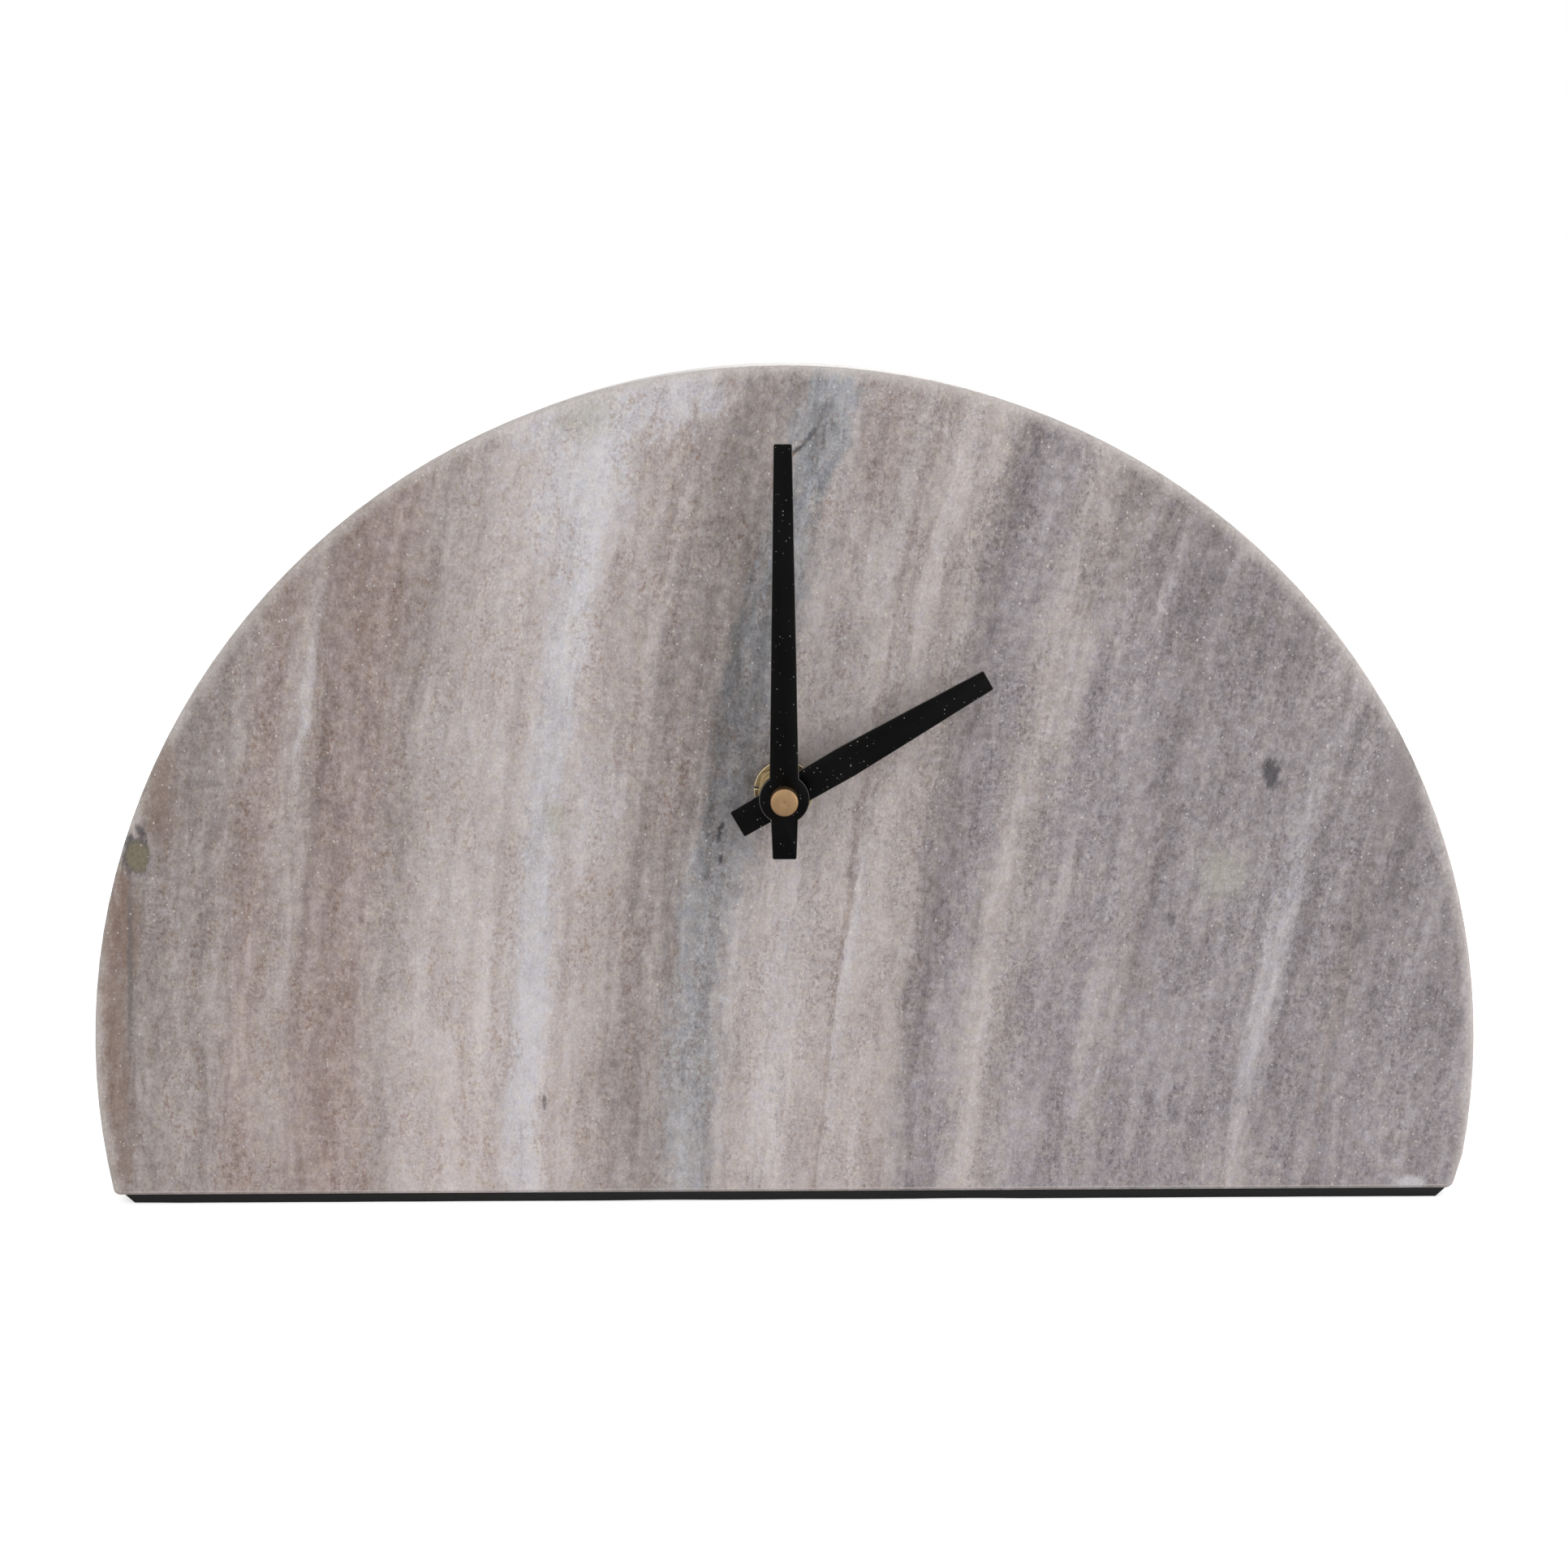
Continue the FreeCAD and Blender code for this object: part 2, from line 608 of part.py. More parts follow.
def motion_work():
    """The twelve-to-one gearing between the hands, and the wheel that sets them."""
    hour = Piece("hour_wheel", **behind(CENTRE_PLACE, HOUR_DEPTH))
    front = f"({HOUR_HAND_Y} - pipe_lead - {CASE_Y} - {HOUR_DEPTH})"
    hour.disc("pipe_radius", front, f"wheel_width - {front}")
    hour.teeth("hour_teeth", HOUR_MODULE, "0", "wheel_width", "0")
    hour.hole(
        "minute_arbor_radius + running_gap", f"{front} - cut_overrun",
        f"wheel_width - {front} + 2 * cut_overrun")

    arbor = Piece("minute_arbor", **behind(CENTRE_PLACE, MOTION_DEPTH))
    tip = f"({MINUTE_HAND_Y} - cap_bore_depth - {CASE_Y} - {MOTION_DEPTH})"
    shoulder = f"({MINUTE_HAND_Y} + hand_thickness - {CASE_Y} - {MOTION_DEPTH})"
    end = f"({ARBOR_END} - {MOTION_DEPTH})"
    arbor.turned((
        ("0", tip),
        ("minute_thread_radius", tip),
        ("minute_thread_radius", shoulder),
        ("minute_arbor_radius", shoulder),
        ("minute_arbor_radius", end),
        ("0", end),
    ))
    arbor.teeth("cannon_teeth", MOTION_MODULE, "-pinion_lap", "wheel_width + 2 * pinion_lap", "0")

    wheel = Piece("motion_wheel", **behind(MOTION_PLACE, MOTION_DEPTH))
    wheel_turn = meshed("motion_angle", "0", "cannon_teeth", "motion_teeth")
    wheel.teeth("motion_teeth", MOTION_MODULE, "0", "wheel_width", wheel_turn)
    wheel.lighten("motion_teeth", MOTION_MODULE, "0", "pipe_radius")
    reach = f"({MOTION_DEPTH} - {HOUR_DEPTH} + pinion_lap)"
    wheel.teeth(
        "motion_pinion_teeth", HOUR_MODULE, f"-{reach}", f"{reach} + web_sink",
        meshed("motion_angle", "0", "hour_teeth", "motion_pinion_teeth"))
    wheel.hole(
        "stud_radius + running_gap", f"-{reach} - cut_overrun",
        f"{reach} + wheel_width + 2 * cut_overrun")

    shaft = Piece("setting_shaft", **behind(SETTING_PLACE, MOTION_DEPTH))
    front = f"(case_front + layer_gap - {MOTION_DEPTH})"
    end = f"({CASE_DEPTH} + layer_gap + knob_bore_depth - {MOTION_DEPTH})"
    shaft.disc("shaft_radius", front, f"{end} - {front}")
    shaft.teeth(
        "setting_teeth", MOTION_MODULE, "-pinion_lap", "wheel_width + 2 * pinion_lap",
        meshed("setting_angle", wheel_turn, "motion_teeth", "setting_teeth"))

    knob = Piece("setting_knob", **behind(SETTING_PLACE, f"({CASE_DEPTH} + layer_gap)"))
    knob.turned((
        ("0", "knob_bore_depth"),
        ("shaft_radius + seat_gap", "knob_bore_depth"),
        ("shaft_radius + seat_gap", "0"),
        ("knob_radius", "0"),
        ("knob_radius", "knob_height - knob_bevel"),
        ("knob_radius - knob_bevel", "knob_height"),
        ("0", "knob_height"),
    ))
    sketch = knob.sketch("-cut_overrun")
    rim, root = "(knob_radius + grip_depth)", "(knob_radius - grip_depth)"
    polygon(sketch, ((root, "0"), (rim, "-grip_width"), (rim, "grip_width")))
    knob.repeat(knob.pocket(sketch, "knob_height + 2 * cut_overrun"), "grip_notches")


def battery():
    """The battery cell and its two contacts."""
    wall = f"({CASE_INNER} / 2 - contact_gap)"
    depth = "(case_front + cell_gap + cell_radius)"
    start = f"(-{wall} + contact_thickness + spring_reach)"
    cell = Piece("battery_cell", **behind((start, CELL_Z), depth))
    cell.turned((
        ("0", "0"),
        ("0", "cell_radius - cell_bevel"),
        ("cell_bevel", "cell_radius"),
        ("cell_body - cell_bevel", "cell_radius"),
        ("cell_body", "cell_radius - cell_bevel"),
        ("cell_body", "nipple_radius"),
        (CELL_LENGTH, "nipple_radius"),
        (CELL_LENGTH, "0"),
    ), axis="H_Axis")

    low = f"({CELL_Z} - contact_width / 2)"
    strip = Piece("positive_contact", **behind((f"({wall} - contact_thickness)", low), depth))
    sketch = strip.sketch(plane="XY_Plane")
    rectangle(sketch, "0", "contact_thickness", "-contact_height / 2", "contact_height / 2")
    strip.pad(sketch, "contact_width", up=True)

    leaf = Piece("negative_contact", **behind((f"(-{wall})", low), depth))
    sketch = leaf.sketch(plane="XY_Plane")
    reach = "(contact_thickness + spring_reach)"
    inside = "(contact_height / 2 - contact_thickness)"
    nose = "(contact_height / 8)"
    polygon(sketch, (
        ("0", "-contact_height / 2"),
        ("0", "contact_height / 2"),
        ("contact_thickness", "contact_height / 2"),
        (reach, nose),
        (reach, f"-{nose}"),
        ("contact_thickness", f"-{inside}"),
        ("contact_thickness", f"-{inside} + contact_thickness"),
        ("spring_reach", f"-{nose} + contact_thickness / 2"),
        ("spring_reach", f"{nose} - contact_thickness / 2"),
        ("contact_thickness", f"{inside} - contact_thickness"),
        ("contact_thickness", "-contact_height / 2"),
    ))
    leaf.pad(sketch, "contact_width", up=True)


marble_slab()
base_pad()
fixing()
hands()
case()
motion_work()
battery()
doc.recompute()

faulty = [item.Name for item in doc.Objects if {"Invalid", "Error"} & set(item.State)]
if faulty:
    raise RuntimeError(f"these objects failed: {faulty}")
bodies = [item for item in doc.Objects if item.TypeId == "PartDesign::Body"]
for body in bodies:
    if body.Shape.isNull() or not body.Shape.isValid() or len(body.Shape.Solids) != 1:
        raise RuntimeError(f"{body.Label} is not one valid solid")

os.makedirs("parts", exist_ok=True)
for body in bodies:
    body.Shape.exportStep(f"parts/{body.Label}.step")
    box = body.Shape.BoundBox
    print(f"{body.Label:18s} {body.Shape.Volume:12.2f} mm3  x {box.XMin:8.2f} {box.XMax:8.2f}"
          f"  y {box.YMin:8.2f} {box.YMax:8.2f}  z {box.ZMin:8.2f} {box.ZMax:8.2f}")
print(len(bodies), "pieces")
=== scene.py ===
import json
import math

import bmesh
import bpy
from mathutils import Matrix, Vector, noise

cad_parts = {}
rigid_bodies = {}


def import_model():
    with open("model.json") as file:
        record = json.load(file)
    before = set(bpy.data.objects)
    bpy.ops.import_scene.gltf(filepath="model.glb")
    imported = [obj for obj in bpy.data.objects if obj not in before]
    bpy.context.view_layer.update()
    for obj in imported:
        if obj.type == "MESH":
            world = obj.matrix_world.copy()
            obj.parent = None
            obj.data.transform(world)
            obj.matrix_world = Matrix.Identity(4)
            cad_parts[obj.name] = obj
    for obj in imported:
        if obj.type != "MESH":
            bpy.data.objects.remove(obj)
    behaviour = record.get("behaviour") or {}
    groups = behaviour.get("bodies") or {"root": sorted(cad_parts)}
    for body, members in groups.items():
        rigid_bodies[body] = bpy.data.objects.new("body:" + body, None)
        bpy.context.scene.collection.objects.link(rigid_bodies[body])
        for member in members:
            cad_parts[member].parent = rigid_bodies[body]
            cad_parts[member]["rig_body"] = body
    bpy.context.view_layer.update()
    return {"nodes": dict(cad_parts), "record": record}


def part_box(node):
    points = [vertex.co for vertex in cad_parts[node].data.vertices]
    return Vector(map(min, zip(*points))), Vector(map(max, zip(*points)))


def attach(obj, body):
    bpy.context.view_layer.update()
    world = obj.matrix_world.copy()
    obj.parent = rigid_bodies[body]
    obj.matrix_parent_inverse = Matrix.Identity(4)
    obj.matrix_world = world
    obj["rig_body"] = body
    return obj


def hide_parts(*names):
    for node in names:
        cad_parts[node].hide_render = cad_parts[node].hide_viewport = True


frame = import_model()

bl_info = {
    "name": "Half-round marble clock",
    "version": (1, 0, 0),
    "blender": (4, 5, 0),
    "location": "View3D > Sidebar > Marble Clock",
    "description": "Dresses a half-round marble mantel clock in stone, brass, black enamel and plastic",
    "category": "Add Mesh",
}

# Lengths are millimetres, turned into metres where a mesh is made, unless a comment says metres.
MM = 0.001
PER_METRE = 1000.0
# Points of a mesh nearer than this, in metres, are one point.
SAME_PLACE = 1e-7
SLAB_LOW, SLAB_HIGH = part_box("marble_slab")
CAP_LOW, CAP_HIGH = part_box("cap_nut")
SHAFT_HEIGHT = (CAP_LOW.z + CAP_HIGH.z) / 2 / MM
ARC_RADIUS = (SLAB_HIGH.x - SLAB_LOW.x) / 2 / MM
ARC_HEIGHT = SLAB_HIGH.z / MM - ARC_RADIUS
FACE = SLAB_LOW.y / MM


def shade(red, green, blue):
    """A screen colour from 0 to 255 as the linear colour that shaders use."""
    parts = []
    for value in (red, green, blue):
        value /= 255
        parts.append(value / 12.92 if value <= 0.04045 else ((value + 0.055) / 1.055) ** 2.4)
    return tuple(parts)


# Sizes and colours that a user would change


def tone(name, description, colour):
    """A colour setting, its default given from 0 to 255."""
    return bpy.props.FloatVectorProperty(
        name=name, description=description, subtype="COLOR", size=3, min=0.0, max=1.0,
        default=shade(*colour))


class StoneSettings(bpy.types.PropertyGroup):
    """Colours and grain of the marble"""

    ice: tone("Ice", "Pale cool layer left of the middle", (203, 199, 202))
    rose: tone("Rose", "Light pinkish beige layers", (194, 184, 182))
    taupe: tone("Taupe", "Middle tone between the layers", (164, 154, 151))
    umber: tone("Umber", "Brown layers at the left", (153, 139, 135))
    slate: tone("Slate", "Grey vein near the hands", (154, 158, 164))
    mauve: tone("Mauve", "Grey purple layers at the right", (151, 144, 146))
    dusk: tone("Dusk", "Darker patches in the grey purple layers", (134, 125, 125))
    # Besides the vein's own dark, the shadow tone paints the hands' shadow on the stone.
    shadow: tone("Shadow", "Darkest part of the vein", (108, 103, 102))
    rust: tone("Rust", "Warm stain along the left edge", (128, 104, 90))
    moss: tone("Moss", "Greenish yellow spots", (176, 173, 158))
    olive: tone("Olive", "Pebble caught in the stone at the left", (121, 112, 94))
    # The edge tone is painted light: a pale glow on the rim, the sides and the rounded edges.
    edge: tone("Edge", "Pale bruised rim and sawn sides", (212, 204, 199))
    ink: tone("Ink", "Fine dark veins and cracks", (58, 56, 61))
    crystal: bpy.props.FloatProperty(
        name="Crystal", description="Width of one crystal of the stone",
        subtype="DISTANCE", unit="LENGTH", min=0.0001, max=0.004, default=0.00045)
    contrast: bpy.props.FloatProperty(
        name="Contrast", description="Strength of the streaks between the main layers",
        min=0.0, max=2.0, default=1.0)


class MetalSettings(bpy.types.PropertyGroup):
    """Colours of the brass, the steel and the hands"""

    cap: tone("Cap nut", "Satin turned brass of the cap", (168, 136, 101))
    hardware: tone("Fixing brass", "Aged brass of washer, nut and bush", (146, 126, 90))
    enamel: tone("Hands", "Satin black enamel of the hands", (8, 7, 7))
    steel: tone("Steel", "Nickel plated contacts and cell ends", (196, 194, 188))


class MouldedSettings(bpy.types.PropertyGroup):
    """Colours of the plastics, the rubber and the cell"""

    case: tone("Case", "Black plastic of the movement", (38, 38, 39))
    module: tone("Module", "Pale plastic inside the movement", (206, 203, 194))
    acetal: tone("Wheels", "Natural plastic of the wheels", (226, 222, 208))
    knob: tone("Knob", "Black plastic of the setting knob", (44, 44, 45))
    rubber: tone("Rubber", "Base strip and cushion", (30, 30, 30))
    jacket: tone("Cell", "Plain jacket of the battery cell", (74, 79, 84))
    band: tone("Cell band", "Band round the raised end of the cell", (170, 122, 78))


class StageSettings(bpy.types.PropertyGroup):
    """Lamps and background"""

    surround: bpy.props.FloatProperty(
        name="Surround", description="Strength of the even light from all round",
        min=0.0, max=2.0, default=0.62)
    key: bpy.props.FloatProperty(
        name="Key lamp", description="Power of the large lamp at the right",
        subtype="POWER", unit="POWER", min=0.0, max=200.0, default=10.2)
    floor: tone("Floor", "Plain pale floor", (244, 244, 244))
    lens: bpy.props.FloatProperty(
        name="Lens", description="Focal length on a 36 mm wide sensor", subtype="DISTANCE_CAMERA",
        min=10.0, max=300.0, default=63.87)


# Node building


class Wiring:
    """Adds nodes to one tree and links them."""

    def __init__(self, tree):
        self.tree = tree
        self.count = 0

    def add(self, kind, inputs=None, **settings):
        """One node with its inputs fed and its settings made."""
        node = self.tree.nodes.new(kind)
        node.location = (200 * (self.count % 12), -260 * (self.count // 12))
        self.count += 1
        for name, value in settings.items():
            setattr(node, name, value)
        for name, value in (inputs or {}).items():
            self.feed(node.inputs[name], value)
        return node

    def feed(self, socket, value):
        """Links an output to an input, or sets the input to a constant."""
        if isinstance(value, bpy.types.NodeSocket):
            self.tree.links.new(value, socket)
        elif socket.type == "RGBA" and len(value) == 3:
            socket.default_value = (*value, 1.0)
        else:
            socket.default_value = value

    def sum(self, operation, *values):
        """One Math node."""
        return self.add("ShaderNodeMath", dict(enumerate(values)), operation=operation).outputs[0]

    def times(self, first, second):
        return self.sum("MULTIPLY", first, second)

    def move(self, operation, first, second):
        """One Vector Math node that gives a vector."""
        node = self.add("ShaderNodeVectorMath", {0: first}, operation=operation)
        self.feed(node.inputs["Scale" if operation == "SCALE" else 1], second)
        return node.outputs[0]

    def length(self, vector):
        return self.add("ShaderNodeVectorMath", {0: vector}, operation="LENGTH").outputs["Value"]

    def split(self, vector):
        return self.add("ShaderNodeSeparateXYZ", {0: vector}).outputs

    def join(self, x, y, z):
        return self.add("ShaderNodeCombineXYZ", {0: x, 1: y, 2: z}).outputs[0]

    def noise(self, vector, scale, detail=2.0, roughness=0.5):
        return self.add("ShaderNodeTexNoise", {
            "Vector": vector, "Scale": scale, "Detail": detail, "Roughness": roughness}).outputs

    def cells(self, vector, scale):
        return self.add("ShaderNodeTexVoronoi", {"Vector": vector, "Scale": scale}).outputs

    def span(self, value, low, high, to_low=0.0, to_high=1.0, smooth=True):
        """One Map Range node, clamped."""
        node = self.add("ShaderNodeMapRange", {
            "Value": value, "From Min": low, "From Max": high, "To Min": to_low, "To Max": to_high})
        node.interpolation_type = "SMOOTHSTEP" if smooth else "LINEAR"
        return node.outputs[0]

    def blend(self, first, second, amount, way="MIX"):
        """Colour mix of two colours."""
        node = self.add("ShaderNodeMix", data_type="RGBA", blend_type=way)
        self.feed(node.inputs[0], amount)
        self.feed(node.inputs[6], first)
        self.feed(node.inputs[7], second)
        return node.outputs[2]

    def soften(self, colour, value, low, high, reach, strength):
        """Soft light from a value: darker where it is low, lighter where it is high."""
        light = self.span(value, low, high, 0.5 - reach, 0.5 + reach, False)
        return self.blend(colour, light, strength, "SOFT_LIGHT")

    def worn(self):
        """1 on rounded edges, 0 elsewhere; the finishes paint highlight and pale glow there."""
        return self.add("ShaderNodeAttribute", attribute_name="worn").outputs["Fac"]

    def ramp(self, value, stops):
        """Colour ramp with the given places and colours."""
        node = self.add("ShaderNodeValToRGB", {0: value})
        elements = node.color_ramp.elements
        while len(elements) > 1:
            elements.remove(elements[-1])
        elements[0].position = stops[0][0]
        elements[0].color = (*stops[0][1], 1.0)
        for place, colour in stops[1:]:
            element = elements.new(place)
            element.color = (*colour, 1.0)
        return node.outputs[0]

    def group(self, tree, **inputs):
        """A node group, its inputs named in lower case with underscores."""
        node = self.add("ShaderNodeGroup", node_tree=tree)
        for name, value in inputs.items():
            self.feed(node.inputs[name.replace("_", " ").capitalize()], value)
        return node.outputs


VECTOR_SOCKETS = ("Vector", "Streaks")


def node_group(name, inputs, outputs):
    """Turns a function that wires a shader node group into one that makes it once and returns it."""
    def ready(wire_up):
        def group():
            if name not in bpy.data.node_groups:
                tree = bpy.data.node_groups.new(name, "ShaderNodeTree")
                for way, labels in (("INPUT", inputs), ("OUTPUT", outputs)):
                    for label in labels:
                        kind = "NodeSocketVector" if label in VECTOR_SOCKETS else "NodeSocketFloat"
                        tree.interface.new_socket(name=label, in_out=way, socket_type=kind)
                wires = Wiring(tree)
                given = wires.add("NodeGroupInput").outputs
                wire_up(wires, given, wires.add("NodeGroupOutput").inputs)
            return bpy.data.node_groups[name]
        return group
    return ready


# The stone's layers are measured at one height. They lean over to the right, more so at the right
# of the face, bow a little further up, drift with depth, and wander and ripple by noise.
LAYER_LEVEL = 94.0
MEAN_LEAN, LEFT_LEAN, RIGHT_LEAN, LEAN_REACH = 0.17, 0.14, 0.25, 115.0
BOW = 0.00055
DRIFT = 0.12
WANDER, RIPPLE = 7.0, 6.0


@node_group("foliation", ("Vector",), ("Across", "Height", "Depth", "Side", "Streaks"))
def foliation(wires, given, taken):
    """Place in the stone to distance across its layers and height along them, in millimetres."""
    place = wires.move("SCALE", given["Vector"], PER_METRE)
    x, y, z = wires.split(place)
    long = wires.move("MULTIPLY", place, (1.0, 1.0, 0.35))
    wander = wires.sum("MULTIPLY_ADD", wires.noise(long, 0.021)[0], WANDER, -WANDER / 2)
    long = wires.move("MULTIPLY", place, (1.0, 1.0, 0.3))
    ripple = wires.sum("MULTIPLY_ADD", wires.noise(long, 0.17, 5.0, 0.72)[0], RIPPLE, -RIPPLE / 2)
    rise = wires.sum("SUBTRACT", z, LAYER_LEVEL)
    upright = wires.sum("MULTIPLY_ADD", rise, -MEAN_LEAN, x)
    lean = wires.span(upright, 0.0, LEAN_REACH, LEFT_LEAN, RIGHT_LEAN, False)
    bowed = wires.times(wires.sum("MULTIPLY_ADD", rise, BOW, lean), rise)
    depth = wires.sum("SUBTRACT", y, FACE)
    across = wires.sum("SUBTRACT", x, bowed)
    across = wires.sum("ADD", across, wander)
    across = wires.sum("ADD", across, ripple)
    across = wires.sum("MULTIPLY_ADD", depth, DRIFT, across)
    wires.feed(taken["Across"], across)
    wires.feed(taken["Height"], z)
    wires.feed(taken["Depth"], depth)
    wires.feed(taken["Side"], x)
    wires.feed(taken["Streaks"], wires.join(across, y, wires.times(z, 0.24)))


@node_group(
    "stone mark",
    ("Across", "Height", "Depth", "Rough", "Middle", "Level", "Half width", "Half length", "Half depth",
     "Softness", "Break up"),
    ("Mask",))
def stone_mark(wires, given, taken):
    """Soft edged spot in the stone: where it is, how big and how broken up."""
    steps = []
    for value, middle, half in (("Across", "Middle", "Half width"), ("Height", "Level", "Half length")):
        away = wires.sum("SUBTRACT", given[value], given[middle])
        steps.append(wires.sum("DIVIDE", away, given[half]))
    steps.append(wires.sum("DIVIDE", given["Depth"], given["Half depth"]))
    reach = wires.length(wires.join(*steps))
    reach = wires.sum("MULTIPLY_ADD", given["Rough"], given["Break up"], reach)
    low = wires.sum("SUBTRACT", 1.0, given["Softness"])
    high = wires.sum("ADD", 1.0, given["Softness"])
    wires.feed(taken["Mask"], wires.span(reach, high, low))


@node_group("crystal grain", ("Vector", "Size"), ("Shade", "Glint", "Fine", "Speckle"))
def crystal_grain(wires, given, taken):
    """Sugary crystals: a shade for each, small bright facets, and a finer grain inside them."""
    place = wires.move("MULTIPLY", given["Vector"], (1.0, 1.0, 0.8))
    scale = wires.sum("DIVIDE", 1.0, given["Size"])
    crystal = wires.cells(place, scale)
    parts = wires.add("ShaderNodeSeparateColor", {0: crystal["Color"]}).outputs
    small = wires.cells(place, wires.times(scale, 0.62))
    bright = wires.add("ShaderNodeSeparateColor", {0: small["Color"]}).outputs
    reach = wires.span(bright[0], 0.80, 1.0, 0.0, 0.36, False)
    wires.feed(taken["Shade"], parts[0])
    wires.feed(taken["Glint"], wires.span(wires.sum("SUBTRACT", reach, small["Distance"]), 0.0, 0.12))
    wires.feed(taken["Fine"], wires.noise(place, wires.times(scale, 0.9), 3.0, 0.75)[0])
    wires.feed(taken["Speckle"], wires.noise(place, wires.times(scale, 0.55), 4.0, 0.7)[0])


@node_group("turning rings", ("Vector", "Pitch"), ("Ring", "Tarnish", "Radius"))
def turning_rings(wires, given, taken):
    """Fine rings left by a lathe round the hand shaft, and a slow tarnish."""
    place = wires.move("SCALE", given["Vector"], PER_METRE)
    x, y, z = wires.split(place)
    radius = wires.length(wires.join(x, 0.0, wires.sum("SUBTRACT", z, SHAFT_HEIGHT)))
    turns = wires.join(
        wires.sum("DIVIDE", radius, given["Pitch"]), wires.sum("DIVIDE", y, given["Pitch"]), 0.0)
    wires.feed(taken["Ring"], wires.noise(turns, 1.0, 2.0, 0.6)[0])
    wires.feed(taken["Tarnish"], wires.noise(place, 0.55, 4.0, 0.6)[0])
    wires.feed(taken["Radius"], radius)


@node_group("fine grain", ("Vector", "Size"), ("Grain", "Slow"))
def fine_grain(wires, given, taken):
    """Even fine grain of a moulded or painted face, with a slow change of tone."""
    scale = wires.sum("DIVIDE", 1.0, given["Size"])
    slow = wires.times(scale, 0.04)
    wires.feed(taken["Grain"], wires.noise(given["Vector"], scale, 3.0, 0.65)[0])
    wires.feed(taken["Slow"], wires.noise(given["Vector"], slow, 3.0, 0.5)[0])


@node_group("dust specks", ("Vector", "Spacing", "Speck"), ("Mask",))
def dust_specks(wires, given, taken):
    """Scattered specks of pale dust."""
    scale = wires.sum("DIVIDE", 1.0, given["Spacing"])
    spots = wires.cells(given["Vector"], scale)
    parts = wires.add("ShaderNodeSeparateColor", {0: spots["Color"]}).outputs
    size = wires.times(given["Speck"], wires.span(parts[0], 0.45, 1.0, 0.0, 1.0, False))
    reach = wires.sum("DIVIDE", spots["Distance"], wires.sum("ADD", size, 0.0001))
    wires.feed(taken["Mask"], wires.span(reach, 1.0, 0.55))


def new_material(name, **shader):
    """An empty node material with its Principled shader, set to the given constants."""
    material = bpy.data.materials.new(name)
    material.use_nodes = True
    material.node_tree.nodes.clear()
    wires = Wiring(material.node_tree)
    bsdf = wires.add("ShaderNodeBsdfPrincipled")
    end = wires.add("ShaderNodeOutputMaterial")
    wires.feed(end.inputs["Surface"], bsdf.outputs[0])
    for socket, value in shader.items():
        wires.feed(bsdf.inputs[socket.replace("_", " ")], value)
    place = wires.add("ShaderNodeTexCoord").outputs["Object"]
    return material, wires, bsdf.inputs, place


def raised(wires, shader, height, distance, strength):
    """A bump, its height in millimetres."""
    bump = wires.add(
        "ShaderNodeBump", {"Height": height, "Distance": distance * MM, "Strength": strength})
    wires.feed(shader["Normal"], bump.outputs[0])


# Layers of the stone: place across at the height they are measured at, tone, lightness.
STONE_LAYERS = (
    (-160, "umber", 0.98), (-143, "umber", 1.0), (-136, "taupe", 0.94), (-118, "taupe", 0.98),
    (-111, "umber", 1.06), (-104, "taupe", 1.06), (-97, "umber", 1.04), (-89, "umber", 1.07),
    (-81, "taupe", 1.01), (-73, "rose", 0.96), (-64, "rose", 1.0), (-56, "rose", 0.97),
    (-53, "ice", 0.97), (-48.5, "ice", 0.98), (-45.5, "rose", 0.98), (-35, "taupe", 1.05),
    (-27, "taupe", 0.98), (-19, "taupe", 0.95), (-10, "taupe", 1.0), (-1, "rose", 0.95),
    (12, "rose", 0.94), (18, "taupe", 1.05), (25, "rose", 0.97), (31, "taupe", 1.07),
    (38, "mauve", 1.0), (45, "mauve", 1.05), (51, "rose", 0.93), (56, "rose", 0.90),
    (62, "mauve", 1.06), (80, "mauve", 1.01), (104, "mauve", 0.98), (150, "mauve", 0.99),
)
LAYERS_FROM, LAYERS_TO = -160.0, 176.0
# Turns a lightness on the screen into one of linear colour.
SCREEN_POWER = 2.2
# Painted bounce light from the floor: below this height the stone gets lighter, by up to this factor at
# its foot.
FOOT_HEIGHT, FOOT_PAINTED_LIGHT = 92.0, 1.20

